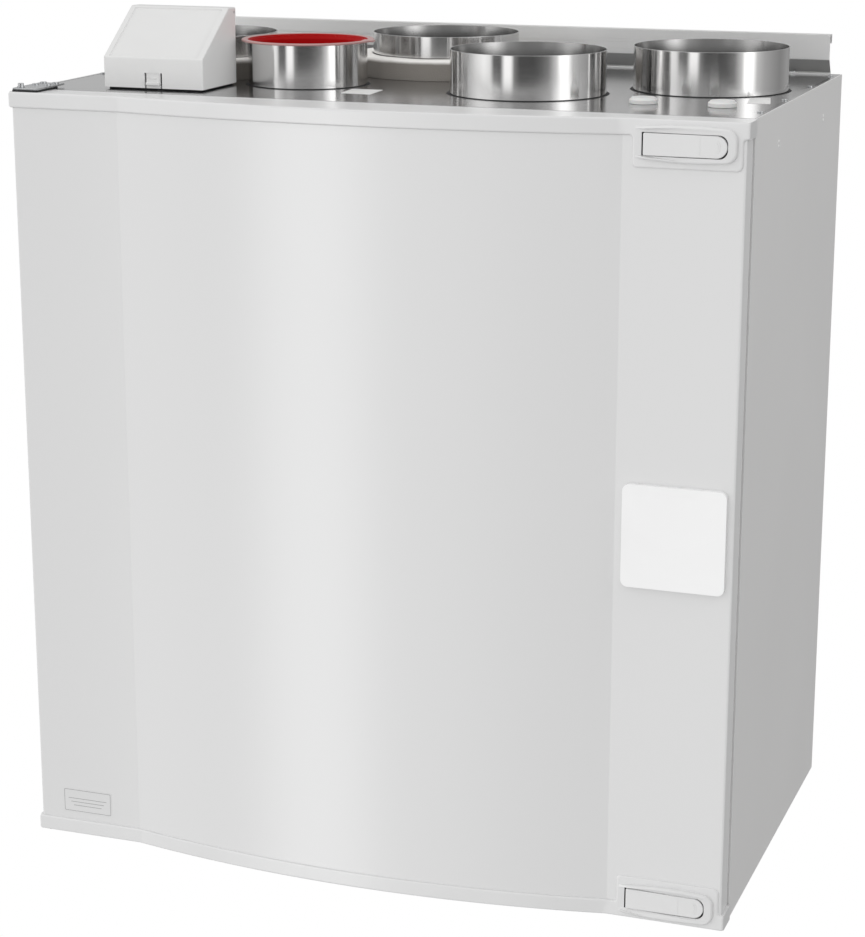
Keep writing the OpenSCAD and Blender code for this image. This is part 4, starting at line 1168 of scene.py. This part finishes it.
def sheet(name, corners, z0, z1, mat, body, r_=0.8):
    """a thin plate on the top plate from (x, g) corners"""
    pts = round_corners([(x, g, r_) for x, g in corners], 4)
    return finish_mesh(prism_z(pts, z0, z1), name, mat, body)


sheet("sticker_middle", [(-64.1, 112.4), (-60.8, 73.6), (-28.3, 70.8), (-30.8, 114.4)], CAB_H + 0.01, CAB_H + 0.22, "paper", "cabinet")
sheet("sticker_right", [(338.7, 170.9), (346.5, 122.0), (368.9, 126.0), (357.9, 177.9)], CAB_H + 0.01, CAB_H + 0.22, "paper", "cabinet")
# a thin black sheet over the hinge plate's footprint, dark beneath the plate
sheet("dark_sheet_under_hinge", [(-380.5, -28.8), (-351.4, -28.8), (-351.4, 16.0), (-380.5, 16.0)], CAB_H + 0.02, CAB_H + 1.78, "black_rubber", "cabinet", 1.5)

bush = [(3.15, -1.9), (4.9, -1.9), (5.4, -1.5), (5.4, -0.02), (3.15, -0.02)]
ring_at(lathe(bush, -374.0, -21.0, 64, True), -374.0, -21.0, "lower_hinge_bush", "black_rubber", "cabinet")
lab = rr(-354, -296, 24.5, 51.5, 1.5, 5)
finish_mesh(prism_g(lab, -DOOR_T - 0.22, -DOOR_T + 0.05), "rating_label", "label_plate", "door")
frame_o, frame_i = rr(-353.0, -297.0, 25.5, 50.5, 1.2, 5), rr(-352.5, -297.5, 26.0, 50.0, 0.9, 5)
bm = bmesh.new()
o_f = [bm.verts.new(P(x, -DOOR_T - 0.27, z)) for x, z in frame_o]
i_f = [bm.verts.new(P(x, -DOOR_T - 0.27, z)) for x, z in frame_i]
o_b = [bm.verts.new(P(x, -DOOR_T - 0.2, z)) for x, z in frame_o]
i_b = [bm.verts.new(P(x, -DOOR_T - 0.2, z)) for x, z in frame_i]
for k in range(len(o_f)):
    j = (k + 1) % len(o_f)
    bm.faces.new((o_f[k], o_f[j], i_f[j], i_f[k]))
    bm.faces.new((o_b[j], o_b[k], i_b[k], i_b[j]))
    bm.faces.new((o_f[j], o_f[k], o_b[k], o_b[j]))
    bm.faces.new((i_f[k], i_f[j], i_b[j], i_b[k]))
finish_mesh(bm, "rating_label_outline", "label_line", "door")
for k, (w_, zc) in enumerate(((46, 40.5), (40, 36.5), (34, 32.5))):
    bar = rr(-325 - w_ / 2, -325 + w_ / 2, zc - 0.28, zc + 0.28, 0.26, 3)
    finish_mesh(prism_g(bar, -DOOR_T - 0.26, -DOOR_T - 0.2), "rating_label_rule_" + str(k + 1), "label_line", "door")

# ------------------------------------------------------------------ stage, light and camera

SCENE.view_settings.view_transform = "Standard"
SCENE.view_settings.look = "None"

world = bpy.data.worlds.new("studio")
SCENE.world = world
world.use_nodes = True
world.cycles.sampling_method = "NONE"
wn, wl = world.node_tree.nodes, world.node_tree.links
for n in list(wn):
    wn.remove(n)
out = wn.new("ShaderNodeOutputWorld")
mix = wn.new("ShaderNodeMixShader")
bg_cam = wn.new("ShaderNodeBackground")
bg_cam.inputs["Color"].default_value = (1, 1, 1, 1)
bg_cam.inputs["Strength"].default_value = 1.0
bg = wn.new("ShaderNodeBackground")
lp = wn.new("ShaderNodeLightPath")
wl.new(lp.outputs["Is Camera Ray"], mix.inputs["Fac"])
wl.new(bg.outputs[0], mix.inputs[1])
wl.new(bg_cam.outputs[0], mix.inputs[2])
wl.new(mix.outputs[0], out.inputs[0])
def wnode(kind, **kw):
    n_ = wn.new(kind)
    for k_, v_ in kw.items():
        setattr(n_, k_, v_)
    return n_


def wmath(op, a_, b_=None):
    n_ = wnode("ShaderNodeMath", operation=op)
    for s_, v_ in zip(n_.inputs, (a_, b_)):
        if v_ is None:
            continue
        if isinstance(v_, (int, float)):
            s_.default_value = v_
        else:
            wl.new(v_, s_)
    return n_.outputs[0]


tc = wnode("ShaderNodeTexCoord")
sep = wnode("ShaderNodeSeparateXYZ")
wl.new(tc.outputs["Generated"], sep.inputs[0])
wx, wy, wz = sep.outputs
azimuth = wmath("ADD", wmath("DIVIDE", wmath("ARCTAN2", wx, wmath("MULTIPLY", wy, -1.0)), 2 * math.pi), 0.5)


def strip_ramp(stops):
    r_ = wnode("ShaderNodeValToRGB")
    els = r_.color_ramp.elements
    while len(els) < len(stops):
        els.new(0.5)
    top_v = max(v for _, v in stops)
    for el_, (deg, v) in zip(els, sorted(stops)):
        el_.position = deg / 360 + 0.5
        el_.color = (v / top_v, v / top_v, v / top_v, 1)
    wl.new(azimuth, r_.inputs["Fac"])
    return wmath("MULTIPLY", r_.outputs["Color"], top_v)


LOW = [(-180, 0.32), (-150, 0.28), (-128, 0.2), (-100, 0.5), (-80, 0.5), (-65, 1.05), (-50, 1.35), (-40, 1.1), (-34, 0.1), (-23, 0.1),
       (-17, 1.5), (-8, 1.5), (-3, 0.25), (5, 0.05), (24, 0.05), (36, 0.09), (47, 0.2), (59, 0.75), (69, 2.6), (75, 1.9), (84, 0.7),
       (99, 0.5), (115, 0.4), (134, 0.31), (158, 0.4), (180, 0.32)]
HIGH = [(-180, 0.5), (-140, 0.6), (-110, 0.4), (-85, 0.7), (-60, 1.3), (-40, 1.2), (-20, 0.6), (0, 0.5), (25, 0.45), (50, 0.8),
        (68, 2.2), (80, 2.0), (95, 0.8), (130, 0.4), (160, 0.45), (180, 0.5)]
low, high = strip_ramp(LOW), strip_ramp(HIGH)
el_mix = wnode("ShaderNodeMapRange", interpolation_type="SMOOTHSTEP")
el_mix.inputs["From Min"].default_value = -0.04
el_mix.inputs["From Max"].default_value = 0.10
wl.new(wz, el_mix.inputs["Value"])
gloss = wmath("ADD", wmath("MULTIPLY", low, wmath("SUBTRACT", 1.0, el_mix.outputs[0])), wmath("MULTIPLY", high, el_mix.outputs[0]))
soft = wmath("ADD", wmath("ADD", wmath("MULTIPLY", wx, -0.24), wmath("MULTIPLY", wy, -0.25)), wmath("ADD", wmath("MULTIPLY", wz, 0.28), 0.73))
gmix = wnode("ShaderNodeMix", data_type="FLOAT")
wl.new(lp.outputs["Is Glossy Ray"], gmix.inputs[0])
wl.new(soft, gmix.inputs[2])
wl.new(gloss, gmix.inputs[3])
wl.new(gmix.outputs[0], bg.inputs["Strength"])
bg.inputs["Color"].default_value = (1, 1, 1, 1)


def area(name, loc, target, size, size_y, power, col=(1, 1, 1), gloss_visible=True):
    d = bpy.data.lights.new(name, "AREA")
    d.shape = "RECTANGLE"
    d.size, d.size_y = size, size_y
    d.energy = power
    d.color = col
    o = bpy.data.objects.new(name, d)
    SCENE.collection.objects.link(o)
    o.location = loc
    o.rotation_euler = (Vector(target) - Vector(loc)).to_track_quat("-Z", "Y").to_euler()
    o.visible_glossy = gloss_visible
    return o


a_strip = math.radians(-28.6)
face_y = (Y0 - DOOR_T - BOW) * MM
glow = area("door_glow", (0.8 * math.sin(a_strip) - 0.009, face_y - 0.8 * math.cos(a_strip), 0.18), (-0.009, face_y, 0.18), 0.28, 1.5, 4.35)
glow.visible_camera = False
glow.visible_diffuse = False
lit = bpy.data.collections.new("glow_receivers")
for name_ in ("door_sheet", "upper_end_cap", "lower_end_cap"):
    lit.objects.link(bpy.data.objects[name_])
glow.light_linking.receiver_collection = lit
side_fill = area("side_fill", (1.45, -0.36, 1.25), (0.38, 0.0, 0.45), 0.3, 0.3, 1.5, gloss_visible=False)
side_fill.visible_camera = False
lit_side = bpy.data.collections.new("fill_receivers")
for name_ in ("right_side_panel", "side_rivets"):
    lit_side.objects.link(NODES[name_])
lit_side.objects.link(bpy.data.objects["door_sheet"])
side_fill.light_linking.receiver_collection = lit_side
box_fill = area("box_fill", (0.93, -0.735, 0.92), (-0.2, -0.15, 0.85), 0.3, 0.3, 3.3, gloss_visible=False)
box_fill.visible_camera = False
lit_box = bpy.data.collections.new("box_receivers")
for name_ in ("terminal_cover", "terminal_cover_lip", "terminal_cover_rib"):
    lit_box.objects.link(bpy.data.objects[name_])
box_fill.light_linking.receiver_collection = lit_box

floor_me = bpy.data.meshes.new("studio_floor")
r = 12.0
floor_me.from_pydata([(-r, -r, 0), (r, -r, 0), (r, r, 0), (-r, r, 0)], [], [(0, 1, 2, 3)])
floor = bpy.data.objects.new("studio_floor", floor_me)
floor.location = (0, 0, lo.z - 0.45)
SCENE.collection.objects.link(floor)
fm = bpy.data.materials.new("studio_floor")
fm.use_nodes = True
fm.node_tree.nodes["Principled BSDF"].inputs["Base Color"].default_value = (0.95, 0.95, 0.95, 1)
fm.node_tree.nodes["Principled BSDF"].inputs["Roughness"].default_value = 0.9
f_nodes, f_links = fm.node_tree.nodes, fm.node_tree.links
f_mix, f_em, f_lp = (f_nodes.new(k_) for k_ in ("ShaderNodeMixShader", "ShaderNodeEmission", "ShaderNodeLightPath"))
f_links.new(f_lp.outputs["Is Camera Ray"], f_mix.inputs["Fac"])
f_links.new(f_nodes["Principled BSDF"].outputs[0], f_mix.inputs[1])
f_links.new(f_em.outputs[0], f_mix.inputs[2])
f_links.new(f_mix.outputs[0], f_nodes["Material Output"].inputs["Surface"])
floor_me.materials.append(fm)
floor.visible_glossy = False
floor.visible_diffuse = False
floor.visible_shadow = False

cam_data = bpy.data.cameras.new("camera")
cam = bpy.data.objects.new("camera", cam_data)
SCENE.collection.objects.link(cam)
SCENE.camera = cam
cam_data.sensor_width = 36.0
cam_data.lens = 2428.45 * 36.0 / 937.0
a, e = math.radians(19.67), math.radians(15.0)
back = Vector((math.sin(a) * math.cos(e), -math.cos(a) * math.cos(e), math.sin(e)))
cam.location = Vector((0.85969, (Y0 - 2225.41) * MM, 1.07635))
cam.rotation_mode = "QUATERNION"
cam.rotation_quaternion = (-back).to_track_quat("-Z", "Y") @ Matrix.Rotation(math.radians(0.04), 4, "Z").to_quaternion()
cam_data.clip_start, cam_data.clip_end = 0.05, 60.0
